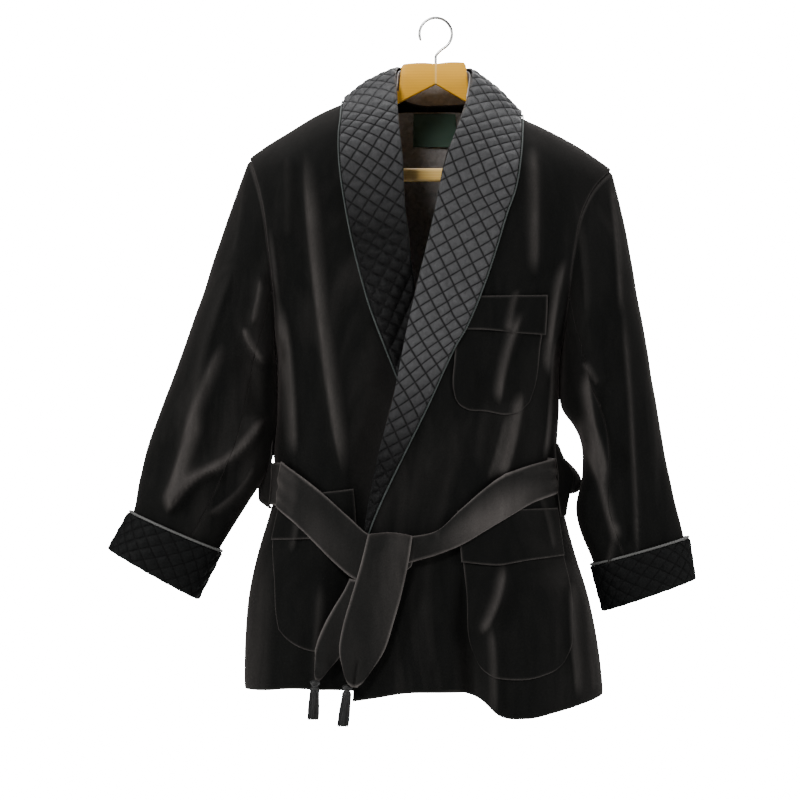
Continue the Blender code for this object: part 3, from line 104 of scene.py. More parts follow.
surround = bpy.data.worlds.new("pale_surround")
surround.use_nodes = True
tree = surround.node_tree
seen = node(tree, "LightPath")
strength = node(
    tree, "MapRange", {"Value": seen.outputs["Is Camera Ray"], "To Min": LIT_BY, "To Max": SEEN_AS}
)
plug(tree, tree.nodes["Background"], {"Color": (1.0, 1.0, 1.0, 1.0), "Strength": strength.outputs[0]})
bpy.context.scene.world = surround


def new_material(name):
    """A material with a Principled shader: gives the material, its node tree and the shader."""
    material = bpy.data.materials.new(name)
    material.use_nodes = True
    return material, material.node_tree, material.node_tree.nodes["Principled BSDF"]


def keep_places(mesh, layer, places):
    """Keeps two numbers for each point as a UV map, which repeats them at each corner of a face."""
    corner = np.empty(len(mesh.loops), np.int32)
    mesh.loops.foreach_get("vertex_index", corner)
    mesh.uv_layers.new(name=layer).data.foreach_set("uv", places[corner].astype(np.float32).ravel())


def make_mesh(name, points, faces, material, seams=None, crease=None):
    """A smooth mesh object from arrays: its faces are turned outwards where the volume that they hold is
    negative. seams are the points' own UV places in metres, and crease is the angle in degrees past which
    an edge is sharp."""
    mesh = bpy.data.meshes.new(name)
    points = points.reshape(-1, 3)
    mesh.from_pydata(points.tolist(), [], faces if isinstance(faces, list) else faces.tolist())
    mesh.calc_loop_triangles()
    corners = np.empty(len(mesh.loop_triangles) * 3, np.int32)
    mesh.loop_triangles.foreach_get("vertices", corners)
    a, b, c = points[corners.reshape(-1, 3)].transpose(1, 0, 2)
    if (a * np.cross(b, c)).sum() < 0:
        mesh.flip_normals()
    mesh.shade_smooth()
    if crease:
        mesh.set_sharp_from_angle(angle=np.radians(crease))
    if seams is not None:
        keep_places(mesh, "cloth_uv", seams.reshape(-1, 2))
    mesh.materials.append(material)
    piece = bpy.data.objects.new(name, mesh)
    bpy.context.scene.collection.objects.link(piece)
    return piece


def grid_quads(columns, rows, closed=False, start=0):
    """Four-sided faces of a grid of points numbered column by column; a closed one joins last and first
    columns."""
    i, j = np.meshgrid(np.arange(columns if closed else columns - 1), np.arange(rows - 1), indexing="ij")
    here = i * rows + j
    beside = (i + 1) % columns * rows + j
    return start + np.stack([here, beside, beside + 1, here + 1], axis=-1).reshape(-1, 4)


round_it = np.arange(FLOOR_COLUMNS) / FLOOR_COLUMNS * 2 * np.pi
turn, out = np.meshgrid(round_it, np.linspace(0.0004, 1, FLOOR_ROWS), indexing="ij")
ground = FLOOR_RADIUS * np.stack([out * np.cos(turn), out * np.sin(turn), 0 * out], axis=-1)
ground = ground - [0, 0, FLOOR_DROP]
floor_paint, tree, shader = new_material("pale_floor")
mottle = node(
    tree, "TexNoise", {"Vector": node(tree, "TexCoord").outputs["Object"], "Scale": 3.0, "Detail": 3.0}
)
tone = node(tree, "ValToRGB", {"Fac": mottle.outputs["Fac"]})
tone.color_ramp.elements[0].color = (0.80, 0.80, 0.79, 1)
tone.color_ramp.elements[1].color = (0.86, 0.86, 0.85, 1)
plug(tree, shader, {"Base Color": tone.outputs["Color"], "Roughness": 0.9})
floor = make_mesh("pale_floor", ground, grid_quads(FLOOR_COLUMNS, FLOOR_ROWS, closed=True), floor_paint)


# The wooden hanger: two arms and the bar below them
# The arms are one varnished piece with a roof-shaped neck, and the bar for trousers runs between them.
# The wood is pale beech under clear varnish, and the steel hook is screwed into the neck.


def through(at, stations, values):
    """A smooth curve through a table: between two rows a cubic, whose slopes come from both
    neighbours."""
    at = np.asarray(at, float)
    stations = np.asarray(stations, float)
    values = np.asarray(values, float)
    gap = np.diff(stations)
    rise = np.diff(values) / gap
    inner = (rise[:-1] * gap[1:] + rise[1:] * gap[:-1]) / (gap[1:] + gap[:-1])
    slope = np.concatenate([[rise[0]], inner, [rise[-1]]])
    i = np.clip(np.searchsorted(stations, at) - 1, 0, len(gap) - 1)
    t = np.clip((at - stations[i]) / gap[i], 0, 1)
    start = (1 + 2 * t) * (1 - t) ** 2 * values[i] + t * (1 - t) ** 2 * gap[i] * slope[i]
    return start + t * t * (3 - 2 * t) * values[i + 1] - t * t * (1 - t) * gap[i] * slope[i + 1]


def column(table, number):
    """One column of a table, as an array."""
    return np.array([row[number] for row in table], float)


def soft_step(t):
    """0 below 0, 1 above 1, and 3t2 - 2t3 between."""
    t = np.clip(t, 0, 1)
    return t * t * (3 - 2 * t)


RIDGE = [
    # x, drop of the line where the cloth goes over the hanger's arm
    (-0.300, 0.218),
    (-0.243, 0.181),
    (-0.219, 0.164),
    (-0.188, 0.145),
    (-0.154, 0.1245),
    (-0.114, 0.1066),
    (-0.066, 0.088),
    (-0.045, 0.083),
    (0.000, 0.079),
    (0.045, 0.094),
    (0.062, 0.1045),
    (0.106, 0.1255),
    (0.148, 0.145),
    (0.183, 0.164),
    (0.212, 0.183),
    (0.232, 0.197),
    (0.280, 0.232),
]


def over_ridge(x):
    """How far below the rail the shoulder's ridge lies at x."""
    return through(x, column(RIDGE, 0), column(RIDGE, 1))


ARMS = [
    # x, how far the arm's top lies below the shoulder's ridge, drop of its underside, half thickness
    (-0.2240, 0.0110, 0.1900, 0.014),
    (-0.2190, 0.0062, 0.1917, 0.017),
    (-0.2050, 0.0052, 0.1917, 0.018),
    (-0.1880, 0.0052, 0.1860, 0.018),
    (-0.1540, 0.0052, 0.1650, 0.016),
    (-0.1140, 0.0047, 0.1450, 0.012),
    (-0.0680, 0.0041, 0.1190, 0.009),
    (-0.0480, 0.0093, 0.1087, 0.0075),
    (-0.0440, -0.0218, 0.1065, 0.0075),
    (-0.0410, -0.0243, 0.1050, 0.0075),
    (0.0000, -0.0210, 0.0840, 0.0075),
    (0.0365, -0.0336, 0.1055, 0.0075),
    (0.0390, -0.0309, 0.1068, 0.0075),
    (0.0430, 0.0100, 0.1150, 0.0075),
    (0.0640, 0.0041, 0.1290, 0.009),
    (0.1060, 0.0047, 0.1580, 0.012),
    (0.1480, 0.0052, 0.1800, 0.016),
    (0.1700, 0.0052, 0.1914, 0.017),
    (0.1745, 0.0052, 0.2040, 0.018),
    (0.1960, 0.0052, 0.2080, 0.018),
    (0.2100, 0.0100, 0.2060, 0.014),
]
WOOD_EDGE = 0.0022  # how far the wood's corners are rounded
BAR_FROM, BAR_TO, BAR_TOP, BAR_FOOT, BAR_HALF = -0.2200, 0.1698, 0.1920, 0.2095, 0.0065
BAR_EDGE = 0.0045


def ring_faces(rings, around, closed=False):
    """Faces between rings of points, ring by ring: a closed run joins its last ring to its first, and an
    open one has its two ends filled."""
    i, k = np.meshgrid(np.arange(rings if closed else rings - 1), np.arange(around), indexing="ij")
    here, there, beside = i * around, (i + 1) % rings * around, (k + 1) % around
    faces = np.stack(
        [here + k, here + beside, there + beside, there + k], axis=-1
    ).reshape(-1, 4).tolist()
    if not closed:
        faces += [list(range(around))[::-1], list(range((rings - 1) * around, rings * around))]
    return faces


def rounded_bar(x, top, foot, half, edge, corners=6):
    """A bar along x: each section is a rectangle whose corners are quarter circles."""
    quarter = np.linspace(0, np.pi / 2, corners)
    swing = np.concatenate([quarter + k * np.pi / 2 for k in range(4)])
    right = np.repeat([1, -1, -1, 1], corners)
    above = np.repeat([1, 1, -1, -1], corners)
    edge = np.minimum(edge, np.minimum(half, (foot - top) / 2) * 0.95)[:, None]
    y = right * (half[:, None] - edge) + edge * np.cos(swing)
    z = -(top + foot)[:, None] / 2 + above * ((foot - top)[:, None] / 2 - edge) + edge * np.sin(swing)
    return np.stack([np.broadcast_to(x[:, None], y.shape), y, z], axis=-1)


def grouped(name, inputs, outputs):
    """An empty node group with named sockets: gives the group, its input node and its output node."""
    group = bpy.data.node_groups.new(name, "ShaderNodeTree")
    for socket, value in inputs.items():
        if value is None:
            group.interface.new_socket(name=socket, in_out="INPUT", socket_type="NodeSocketVector")
        else:
            made = group.interface.new_socket(name=socket, in_out="INPUT", socket_type="NodeSocketFloat")
            made.default_value = value
    for socket in outputs:
        group.interface.new_socket(name=socket, in_out="OUTPUT", socket_type="NodeSocketFloat")
    return group, group.nodes.new("NodeGroupInput"), group.nodes.new("NodeGroupOutput")


grain, given, result = grouped("wood_grain", {"Place": None, "Rings": 90.0}, ["Band", "Pore"])
stretched = node(grain, "Mapping", {"Vector": given.outputs["Place"], "Scale": (0.07, 1.0, 1.0)})
drift = node(
    grain, "TexNoise", {"Vector": stretched.outputs[0], "Scale": 60.0, "Detail": 4.0, "Distortion": 0.6}
)
bands = node(
    grain,
    "TexWave",
    {"Vector": stretched.outputs[0], "Scale": given.outputs["Rings"], "Distortion": 3.0},
    bands_direction="Z",
)
mixed = node(grain, "Math", {0: bands.outputs["Fac"], 1: drift.outputs["Fac"]}, operation="MULTIPLY")
pores = node(grain, "TexNoise", {"Vector": stretched.outputs[0], "Scale": 1400.0, "Detail": 2.0})
plug(grain, result, {"Band": mixed.outputs[0], "Pore": pores.outputs["Fac"]})


def wood_material(name, pale, dark, joint_highlight=0.0):
    """Varnished beech: grain bands along x between two browns, under a clear coat. Its last argument paints
    a highlight along the line at x 0 where the two arms meet."""
    material, tree, shader = new_material(name)
    place = node(tree, "TexCoord").outputs["Object"]
    fibres = node(tree, "Group", {"Place": place}, node_tree=grain)
    tone = node(
        tree, "Mix", {"Factor": fibres.outputs["Band"], 6: (*pale, 1), 7: (*dark, 1)}, data_type="RGBA"
    )
    parted = node(tree, "SeparateXYZ", {0: place})
    aside = node(tree, "Math", {0: parted.outputs["X"]}, operation="ABSOLUTE")
    # Painted highlight along the line where the two arms meet.
    faded = {"From Min": 0.0006, "From Max": 0.0016, "To Min": joint_highlight, "To Max": 0.0}
    line = node(tree, "MapRange", {"Value": aside.outputs[0], **faded})
    tone = node(
        tree, "Mix", {0: line.outputs[0], 6: tone.outputs[2], 7: (1.0, 0.82, 0.45, 1)}, data_type="RGBA"
    )
    bump = node(tree, "Bump", {"Height": fibres.outputs["Pore"], "Strength": 0.12, "Distance": 0.0003})
    plug(tree, shader, {"Base Color": tone.outputs[2], "Normal": bump.outputs[0], "Roughness": 0.34})
    plug(tree, shader, {"Coat Weight": 0.35, "Coat Roughness": 0.18})
    return material


beech = wood_material("varnished_beech", (0.97, 0.48, 0.019), (0.86, 0.385, 0.013), 0.35)
stations = np.unique(np.concatenate([column(ARMS, 0), np.linspace(ARMS[0][0], ARMS[-1][0], 120)]))
arm_top = over_ridge(stations) + np.interp(stations, column(ARMS, 0), column(ARMS, 1))
arm_foot = np.interp(stations, column(ARMS, 0), column(ARMS, 2))
arm_half = np.interp(stations, column(ARMS, 0), column(ARMS, 3))
points = rounded_bar(stations, arm_top, arm_foot, arm_half, WOOD_EDGE)
shaped_arms = make_mesh("shaped_arms", points, ring_faces(*points.shape[:2]), beech, crease=50)
stations = np.linspace(BAR_FROM, BAR_TO, 24)
flat = 0 * stations
points = rounded_bar(stations, flat + BAR_TOP, flat + BAR_FOOT, flat + BAR_HALF, BAR_EDGE)
bar_beech = wood_material("bar_beech", (1.0, 0.66, 0.20), (0.88, 0.48, 0.10))
trouser_rail = make_mesh("trouser_rail", points, ring_faces(*points.shape[:2]), bar_beech, crease=50)
for wooden, replaced in ((shaped_arms, "hanger_arms"), (trouser_rail, "trouser_bar")):
    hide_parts(replaced)
    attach(wooden, "root")


# The steel hook
# A plain wire bent round a rail, its foot screwed into the neck of the hanger.
# It is bright plated steel, so it needs little but a fine drawn grain.

HOOK_WIRE = 0.0019
HOOK_BEND = 0.0190
HOOK_FROM, HOOK_TO = -60, 205  # degrees of the bend, from the stem's end to the tip
STEM_FOOT, STEM_TOP = -0.0577, -0.0490
WIRE_AROUND = 14


def carried(path, radius, around, closed=False, upright=(0, 0, 1)):
    """A round profile carried along a path: rings of points square to it, whose radius may change along
    and round it."""
    way = np.roll(path, -1, axis=0) - np.roll(path, 1, axis=0) if closed else np.gradient(path, axis=0)
    way = way / np.linalg.norm(way, axis=1, keepdims=True)
    aside = np.cross(way, np.array(upright, float))
    aside = aside / np.linalg.norm(aside, axis=1, keepdims=True)
    over = np.cross(aside, way)
    turn = np.arange(around) / around * 2 * np.pi
    radius = np.broadcast_to(radius, (len(path), around))[..., None]
    ring = aside[:, None] * np.cos(turn)[None, :, None] + over[:, None] * np.sin(turn)[None, :, None]
    return path[:, None] + ring * radius


steel, tree, shader = new_material("plated_steel")
lines = node(
    tree, "TexNoise", {"Vector": node(tree, "TexCoord").outputs["Object"], "Scale": 900.0, "Detail": 2.0}
)
rough = node(tree, "MapRange", {"Value": lines.outputs["Fac"], "To Min": 0.16, "To Max": 0.34})
plug(tree, shader, {"Base Color": (0.72, 0.72, 0.71, 1), "Metallic": 1.0, "Roughness": rough.outputs[0]})
bend = np.radians(np.linspace(HOOK_FROM, HOOK_TO, 70))
centre_line = HOOK_BEND + HOOK_WIRE
curl = np.stack([centre_line * np.cos(bend), 0 * bend, -HOOK_BEND + centre_line * np.sin(bend)], axis=-1)
foot = np.linspace(0, 1, 12)[:, None]
stem = np.array([[0, 0, STEM_FOOT]]) * (1 - foot) + np.array([[0, 0, STEM_TOP]]) * foot
reach = np.linspace(0, 1, 16)[1:-1, None]
lead_in = (1 - reach) ** 3 * stem[-1] + 3 * reach * (1 - reach) ** 2 * (stem[-1] + [0, 0, 0.004])
lead_in = lead_in + 3 * reach**2 * (1 - reach) * (curl[0] - [0.0030, 0, 0.0020]) + reach**3 * curl[0]
path = np.concatenate([stem, lead_in, curl])
end = np.minimum(np.arange(len(path))[::-1] / 3.0, 1)
radius = HOOK_WIRE * np.sqrt(1 - 0.75 * (1 - end) ** 2)[:, None]
wire = carried(path, radius, WIRE_AROUND, upright=(0, 1, 0))
bent_hook = make_mesh("bent_hook", wire, ring_faces(len(path), WIRE_AROUND), steel)
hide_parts("hanger_hook")
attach(bent_hook, "root")


# The jacket's body: two fronts and two halves of the back
# Black velvet, lined, cut to hang straight from the shoulders and to flare below the belt.
# The wearer's left front laps over the right one, and the body is pulled in by the belt.

CLOTH = 0.0024  # velvet, canvas and lining together
ROUNDNESS = 2.5  # 2 would make each level an ellipse
SHOULDER_ROLL = 0.110  # drop over which the cloth turns from the ridge to hanging straight
BELT_LEVEL = 0.618
FULLNESS = 1.45  # how much fuller the velvet's folds are than their table's heights
NARROW_FOLD = 0.012  # a fold up to this half width gets its full painted sheen along its crest, and a wider one less
CREST_HEIGHT = 0.009  # a fold this high gets its full painted sheen all along its crest
CREST_SHARE = 0.62  # how bright that painted sheen is
BELT_PRESS, BELT_REACH = 0.85, 0.05  # how flat the belt presses the folds, and how far above and below it
LAP_FROM, LAP_OVER = 0.27, 0.08  # drop where the fronts begin to lap, and over which they make room for it
RIPPLES = [
    # waves across and down in radians a metre, where they start, share of the height
    (38, 9, 1.3, 1.0),
    (71, -14, 0.4, 0.8),
    (23, 31, 0.0, 0.7),
    (116, 21, 2.0, 0.5),
    (-33, 54, 0.9, 0.5),
]
BODY = [
    # drop, wearer's right side x, wearer's left side x, depth in front, depth behind
    (0.160, -0.275, 0.250, 0.098, 0.083),
    (0.200, -0.2585, 0.2355, 0.101, 0.086),
    (0.232, -0.2570, 0.2230, 0.103, 0.088),
    (0.268, -0.2570, 0.2215, 0.104, 0.089),
    (0.310, -0.2550, 0.2245, 0.105, 0.090),
    (0.358, -0.2370, 0.2050, 0.104, 0.089),
    (0.402, -0.2190, 0.1790, 0.103, 0.088),
    (0.432, -0.2060, 0.1615, 0.102, 0.087),
    (0.455, -0.2042, 0.1592, 0.101, 0.086),
    (0.500, -0.2045, 0.1590, 0.097, 0.083),
    (0.560, -0.2090, 0.1560, 0.091, 0.078),
    (0.600, -0.2045, 0.1575, 0.089, 0.076),
    (0.640, -0.2150, 0.1665, 0.091, 0.080),
    (0.683, -0.2280, 0.1780, 0.095, 0.085),
    (0.740, -0.2405, 0.1955, 0.101, 0.091),
    (0.800, -0.2455, 0.2080, 0.106, 0.096),
    (0.865, -0.2465, 0.2155, 0.110, 0.100),
    (0.920, -0.2465, 0.2180, 0.112, 0.102),
]
FRONT_FOLDS = [
    # x and drop of its top, x and drop of its foot, sideways bow, half width, height to the front, lean
    (-0.168, 0.146, -0.113, 0.610, -0.008, 0.012, 0.010, 0.6),
    (-0.196, 0.360, -0.180, 0.575, 0.003, 0.012, 0.008, -0.3),
    (-0.214, 0.250, -0.196, 0.480, 0.003, 0.007, 0.006, 0.2),
    (-0.192, 0.160, -0.190, 0.300, 0.002, 0.014, 0.004, 0.2),
    (-0.170, 0.660, -0.188, 0.900, 0.004, 0.030, 0.007, 0.0),
    (-0.215, 0.690, -0.226, 0.900, 0.003, 0.016, 0.006, 0.3),
    (-0.144, 0.700, -0.152, 0.900, -0.003, 0.012, 0.004, 0.3),
    (0.122, 0.150, 0.124, 0.345, 0.002, 0.011, 0.008, -0.4),
    (0.086, 0.170, 0.098, 0.300, 0.002, 0.020, 0.004, 0.2),
    (0.166, 0.300, 0.142, 0.470, -0.005, 0.008, 0.010, -0.5),
    (0.152, 0.400, 0.136, 0.580, 0.003, 0.007, 0.009, 0.3),
    (0.106, 0.345, 0.090, 0.410, -0.003, 0.008, 0.006, -0.4),
    (0.112, 0.370, 0.078, 0.505, -0.006, 0.009, 0.010, -0.5),
    (0.108, 0.470, 0.080, 0.600, 0.005, 0.011, 0.012, -0.5),
    (0.090, 0.500, 0.062, 0.600, 0.003, 0.009, 0.005, 0.3),
    (0.050, 0.430, 0.044, 0.600, 0.002, 0.022, -0.005, 0.0),
    (0.112, 0.690, 0.122, 0.930, 0.004, 0.055, 0.018, 0.0),
    (0.030, 0.690, 0.044, 0.900, 0.003, 0.014, -0.010, 0.0),
    (0.086, 0.690, 0.052, 0.790, 0.008, 0.009, 0.009, -0.5),
    (0.066, 0.760, 0.070, 0.900, 0.004, 0.010, 0.006, -0.3),
    (0.172, 0.700, 0.182, 0.880, -0.003, 0.010, 0.007, 0.3),
    (0.196, 0.720, 0.206, 0.880, -0.003, 0.008, 0.005, -0.3),
    (-0.020, 0.720, -0.012, 0.900, 0.002, 0.030, 0.004, 0.0),
    (0.128, 0.600, 0.150, 0.690, 0.004, 0.008, 0.005, 0.3),
    (-0.172, 0.600, -0.186, 0.690, 0.003, 0.008, 0.005, -0.3),
]
BACK_FOLDS = [
    # the same eight numbers, with the height towards the back
    (-0.170, 0.230, -0.150, 0.560, -0.006, 0.016, 0.009, 0.3),
    (0.150, 0.240, 0.118, 0.560, 0.006, 0.016, 0.009, -0.3),
    (-0.085, 0.440, -0.075, 0.600, 0.004, 0.013, 0.007, 0.4),
    (0.052, 0.430, 0.046, 0.600, -0.004, 0.013, 0.007, -0.4),
    (-0.120, 0.500, -0.104, 0.600, 0.003, 0.009, 0.005, 0.2),
    (0.096, 0.490, 0.084, 0.600, 0.003, 0.009, 0.005, 0.2),
    (-0.150, 0.620, -0.172, 0.920, 0.006, 0.026, 0.012, 0.3),
    (-0.062, 0.620, -0.070, 0.920, -0.004, 0.022, 0.010, -0.3),
    (0.035, 0.620, 0.045, 0.920, 0.004, 0.022, 0.011, 0.3),
    (0.120, 0.620, 0.142, 0.920, -0.005, 0.026, 0.012, -0.3),
    (-0.020, 0.300, -0.016, 0.500, 0.002, 0.030, 0.003, 0.0),
]
LEFT_ROLL = [
    # drop, x of the left front's roll line, and below the belt of its edge
    (0.1045, 0.0620),
    (0.125, 0.0430),
    (0.149, 0.0300),
    (0.166, 0.0180),
    (0.195, 0.0085),
    (0.235, 0.0015),
    (0.285, -0.0095),
    (0.342, -0.0245),
    (0.395, -0.0360),
    (0.455, -0.0475),
    (0.515, -0.0625),
    (0.575, -0.0765),
    (0.655, -0.0915),
    (0.760, -0.0990),
    (0.870, -0.1060),
]
RIGHT_ROLL = [
    # drop, x of the right front's roll line, and below the belt of its edge
    (0.088, -0.0660),
    (0.112, -0.0510),
    (0.140, -0.0485),
    (0.173, -0.0440),
    (0.2065, -0.0418),
    (0.2436, -0.0400),
    (0.280, -0.0350),
    (0.337, -0.0290),
    (0.400, -0.0180),
    (0.500, 0.0060),
    (0.620, 0.0340),
    (0.740, 0.0460),
    (0.860, 0.0520),
]
LEFT_HEM = [
    # x, drop
    (-0.120, 0.8690),
    (-0.106, 0.8680),
    (-0.078, 0.8640),
    (-0.040, 0.8580),
    (0.000, 0.8570),
    (0.037, 0.8580),
    (0.056, 0.8670),
    (0.076, 0.8850),
    (0.114, 0.8910),
    (0.152, 0.8840),
    (0.191, 0.8750),
    (0.2155, 0.8680),
]
RIGHT_HEM = [
    (-0.2465, 0.8610), (-0.210, 0.8570), (-0.190, 0.8540), (-0.140, 0.8530), (-0.100, 0.8530),
    (0.055, 0.8500),
]
BACK_HEM = [
    # x, drop
    (-0.2465, 0.8610),
    (-0.172, 0.8560),
    (-0.110, 0.8490),
    (-0.060, 0.8520),
    (-0.010, 0.8490),
    (0.045, 0.8530),
    (0.090, 0.8500),
    (0.142, 0.8590),
    (0.2155, 0.8680),
]
OVERLAP_SINK = 0.011  # how far the right front lies further in, where the left one covers it
OVERLAP_LIFT = 0.004  # how far the left front lies further out there
TIP = {-1: -0.240, 1: 0.226}  # x of each shoulder's tip
NECK_POINT = {-1: -0.066, 1: 0.062}
UNDERARM = {-1: 0.430, 1: 0.435}
HEM = {-1: RIGHT_HEM, 1: LEFT_HEM}
ROLL = {-1: RIGHT_ROLL, 1: LEFT_ROLL}
SIDE_HEM = {-1: BACK_HEM[0][1], 1: BACK_HEM[-1][1]}
ARMHOLE_SHARE = 0.42  # share of a panel's rows that lie along the armhole
CENTRE_BACK = -0.010
SEAM_LAP = 0.0008  # how far two panels reach past their seam
BACK_NECK_DROP = 0.106
ARMHOLES = {
    # drop, x
    -1: [
        (0.178, -0.240), (0.205, -0.231), (0.240, -0.222), (0.300, -0.214), (0.370, -0.207),
        (0.430, -0.2065),
    ],
    1: [(0.194, 0.226), (0.215, 0.206), (0.245, 0.189), (0.300, 0.176), (0.370, 0.168), (0.435, 0.1608)],
}


def body_side(side, drop):
    """x of the body's side, -1 the wearer's right and 1 the left."""
    return through(drop, column(BODY, 0), column(BODY, 1 if side < 0 else 2))


def across_share(x, drop):
    """How deep the body is at x as a share of its middle: (1 - |u|^n)^(1/n), with u from -1 to 1 across
    it."""
    right, left = body_side(-1, drop), body_side(1, drop)
    u = np.clip(np.abs((x - (left + right) / 2) / ((left - right) / 2)), 0, 1)
    return (1 - u**ROUNDNESS) ** (1 / ROUNDNESS)


def folds(table, x, drop, drawn_in=0.0):
    """The height of a table's ridges at a place: each is exp(-|s|^1.5) across, wider on one side than the
    other by its lean, and tapers at both ends. drawn_in keeps to the crests of the narrow ones, where the
    painted sheen goes."""
    total = np.zeros(np.broadcast(x, drop).shape)
    for top_x, top_drop, foot_x, foot_drop, bow, width, height, lean in table:
        run = np.array([foot_x - top_x, foot_drop - top_drop])
        length = np.hypot(*run)
        along = ((x - top_x) * run[0] + (drop - top_drop) * run[1]) / length**2
        aside = ((x - top_x) * run[1] - (drop - top_drop) * run[0]) / length
        inside = np.clip(along, 0, 1)
        s = aside - 4 * bow * inside * (1 - inside)
        s = s / (width * (1 + lean * np.tanh(3 * s / width))) * (1 + 0.6 * drawn_in)
        tall = height * min(1.0, NARROW_FOLD / width) ** (2 * drawn_in)
        taper = soft_step(along / 0.25) * soft_step((1 - along) / 0.2)
        total = total + tall * np.exp(-(np.abs(s) ** 1.5)) * taper
    return total


def painted_crest_sheen(table, x, drop):
    """Painted sheen on the folds' crests, from 0 to 1."""
    return np.clip(folds(table, x, drop, 1.0) / CREST_HEIGHT, 0, 1) ** 1.5


def ripple(x, drop, size):
    """Small uneven waves, as hung velvet has: five sines of different slant and length, added up."""
    waves = [share * np.sin(across * x + down * drop + start) for across, down, start, share in RIPPLES]
    return size * sum(waves) / column(RIPPLES, 3).sum()


def body_y(facing, x, drop):
    """y of the body's outer face, facing -1 in front and 1 behind: depth, times the share across, times a
    quarter circle below the shoulder's ridge, plus the folds, which the belt presses flat."""
    share = across_share(x, drop)
    roll = np.sqrt(1 - (1 - np.clip((drop - over_ridge(x)) / SHOULDER_ROLL, 0, 1)) ** 2)
    depth = through(drop, column(BODY, 0), column(BODY, 3 if facing < 0 else 4)) * share * roll
    loose = 1 - BELT_PRESS * np.exp(-(((drop - BELT_LEVEL) / BELT_REACH) ** 2))
    table = FRONT_FOLDS if facing < 0 else BACK_FOLDS
    small = ripple(x, drop, 0.0012) * soft_step((drop - over_ridge(x)) / 0.05)
    return facing * (depth + (folds(table, x, drop) * FULLNESS * loose + small) * np.sqrt(share))


def roll_x(side, drop):
    """x of a front's roll line, and below the belt of its edge."""
    return through(drop, column(ROLL[side], 0), column(ROLL[side], 1))


def front_y(side, x, drop):
    """y of a front's outer face, with the room that the two fronts need where they lap."""
    low = soft_step((drop - LAP_FROM) / LAP_OVER)
    if side < 0:
        return body_y(-1, x, drop) + OVERLAP_SINK * low * soft_step((x - roll_x(1, drop) + 0.055) / 0.055)
    return body_y(-1, x, drop) - OVERLAP_LIFT * low * soft_step((roll_x(-1, drop) + 0.080 - x) / 0.070)


def armhole(side, facing, turn):
    """x, y and drop on the armhole: turn goes from 0 at the shoulder's tip to pi at the underarm."""
    table = ARMHOLES[side]
    top = over_ridge(TIP[side])
    drop = (top + UNDERARM[side]) / 2 - (UNDERARM[side] - top) / 2 * np.cos(turn)
    x = through(drop, column(table, 0), column(table, 1))
    x = x + (body_side(side, UNDERARM[side]) - table[-1][1]) * soft_step((turn - 2) / 1.14)
    x = x + (TIP[side] - through(top, column(table, 0), column(table, 1))) * soft_step(1 - turn)
    return x, body_y(facing, x, drop), drop


def outer_edge(side, facing, along):
    """x and drop of a panel's outer edge: down the armhole, and then down the side seam."""
    arm_x, _, arm_drop = armhole(side, facing, np.pi * np.clip(along / ARMHOLE_SHARE, 0, 1))
    below = np.clip((along - ARMHOLE_SHARE) / (1 - ARMHOLE_SHARE), 0, 1)
    seam_drop = UNDERARM[side] + (SIDE_HEM[side] - UNDERARM[side]) * below
    on_arm = along <= ARMHOLE_SHARE
    return np.where(on_arm, arm_x, body_side(side, seam_drop)), np.where(on_arm, arm_drop, seam_drop)


def hem_drop(table, x):
    """How far below the rail the hem lies at x."""
    return through(x, column(table, 0), column(table, 1))


def front_panel(side, across, along):
    """A front from its outer edge at across 0 to its roll line at 1: x runs straight between the two, and
    the drop's share from the ridge to the hem is blended between theirs."""
    neck_drop = over_ridge(NECK_POINT[side])
    top = over_ridge(TIP[side])
    out_x, out_drop = outer_edge(side, -1, along)
    in_drop = neck_drop + (ROLL[side][-1][0] - neck_drop) * (out_drop - top) / (SIDE_HEM[side] - top)
    in_x = roll_x(side, in_drop)
    x = out_x + (in_x - out_x) * across

    def share(x_there, drop_there):
        return (drop_there - over_ridge(x_there)) / (hem_drop(HEM[side], x_there) - over_ridge(x_there))

    fall = share(out_x, out_drop) * (1 - across) + share(in_x, in_drop) * across
    drop = over_ridge(x) + fall * (hem_drop(HEM[side], x) - over_ridge(x))
    return np.stack([x, front_y(side, x, drop), -drop], axis=-1)


def back_panel(side, across, along):
    """Half the back from its outer edge at across 0 to the centre seam at 1, cut away in a curve at the
    neck."""
    neck_drop, neck_x = over_ridge(NECK_POINT[side]), NECK_POINT[side]
    out_x, out_drop = outer_edge(side, 1, along)
    tip = over_ridge(TIP[side])
    x = out_x + (CENTRE_BACK - side * SEAM_LAP - out_x) * across
    inward = np.clip((neck_x - x) / (neck_x - CENTRE_BACK), 0, 1)
    seam = neck_drop + (BACK_NECK_DROP - neck_drop) * np.sin(inward * np.pi / 2)
    neck = np.where(inward > 0, (seam - over_ridge(x)) / (hem_drop(BACK_HEM, x) - over_ridge(x)), 0)
    side_share = (out_drop - over_ridge(out_x)) / (hem_drop(BACK_HEM, out_x) - over_ridge(out_x))
    fall = side_share * (1 - across) + (out_drop - tip) / (SIDE_HEM[side] - tip) * across
    drop = over_ridge(x) + (neck + (1 - neck) * fall) * (hem_drop(BACK_HEM, x) - over_ridge(x))
    return np.stack([x, body_y(1, x, drop), -drop], axis=-1)


def spaced(length, cell, edge=0.0030):
    """Places from 0 to 1 along a length: even cells, with closer ones in the rounded edge at both
    ends."""
    near = np.array([0, 0.08, 0.25, 0.55, 1.0]) * edge / length
    middle = np.linspace(near[-1], 1 - near[-1], max(3, int(length / cell)))[1:-1]
    return np.concatenate([near, middle, 1 - near[::-1]])


def square_to(points, out, closed=False):
    """Unit vectors square to a grid of points: its step across times its step along, turned by out."""
    across = np.gradient(points, axis=0)
    if closed:
        across = np.roll(points, -1, axis=0) - np.roll(points, 1, axis=0)
    way = np.cross(across, np.gradient(points, axis=1))
    return out * way / np.maximum(np.linalg.norm(way, axis=-1, keepdims=True), 1e-12)


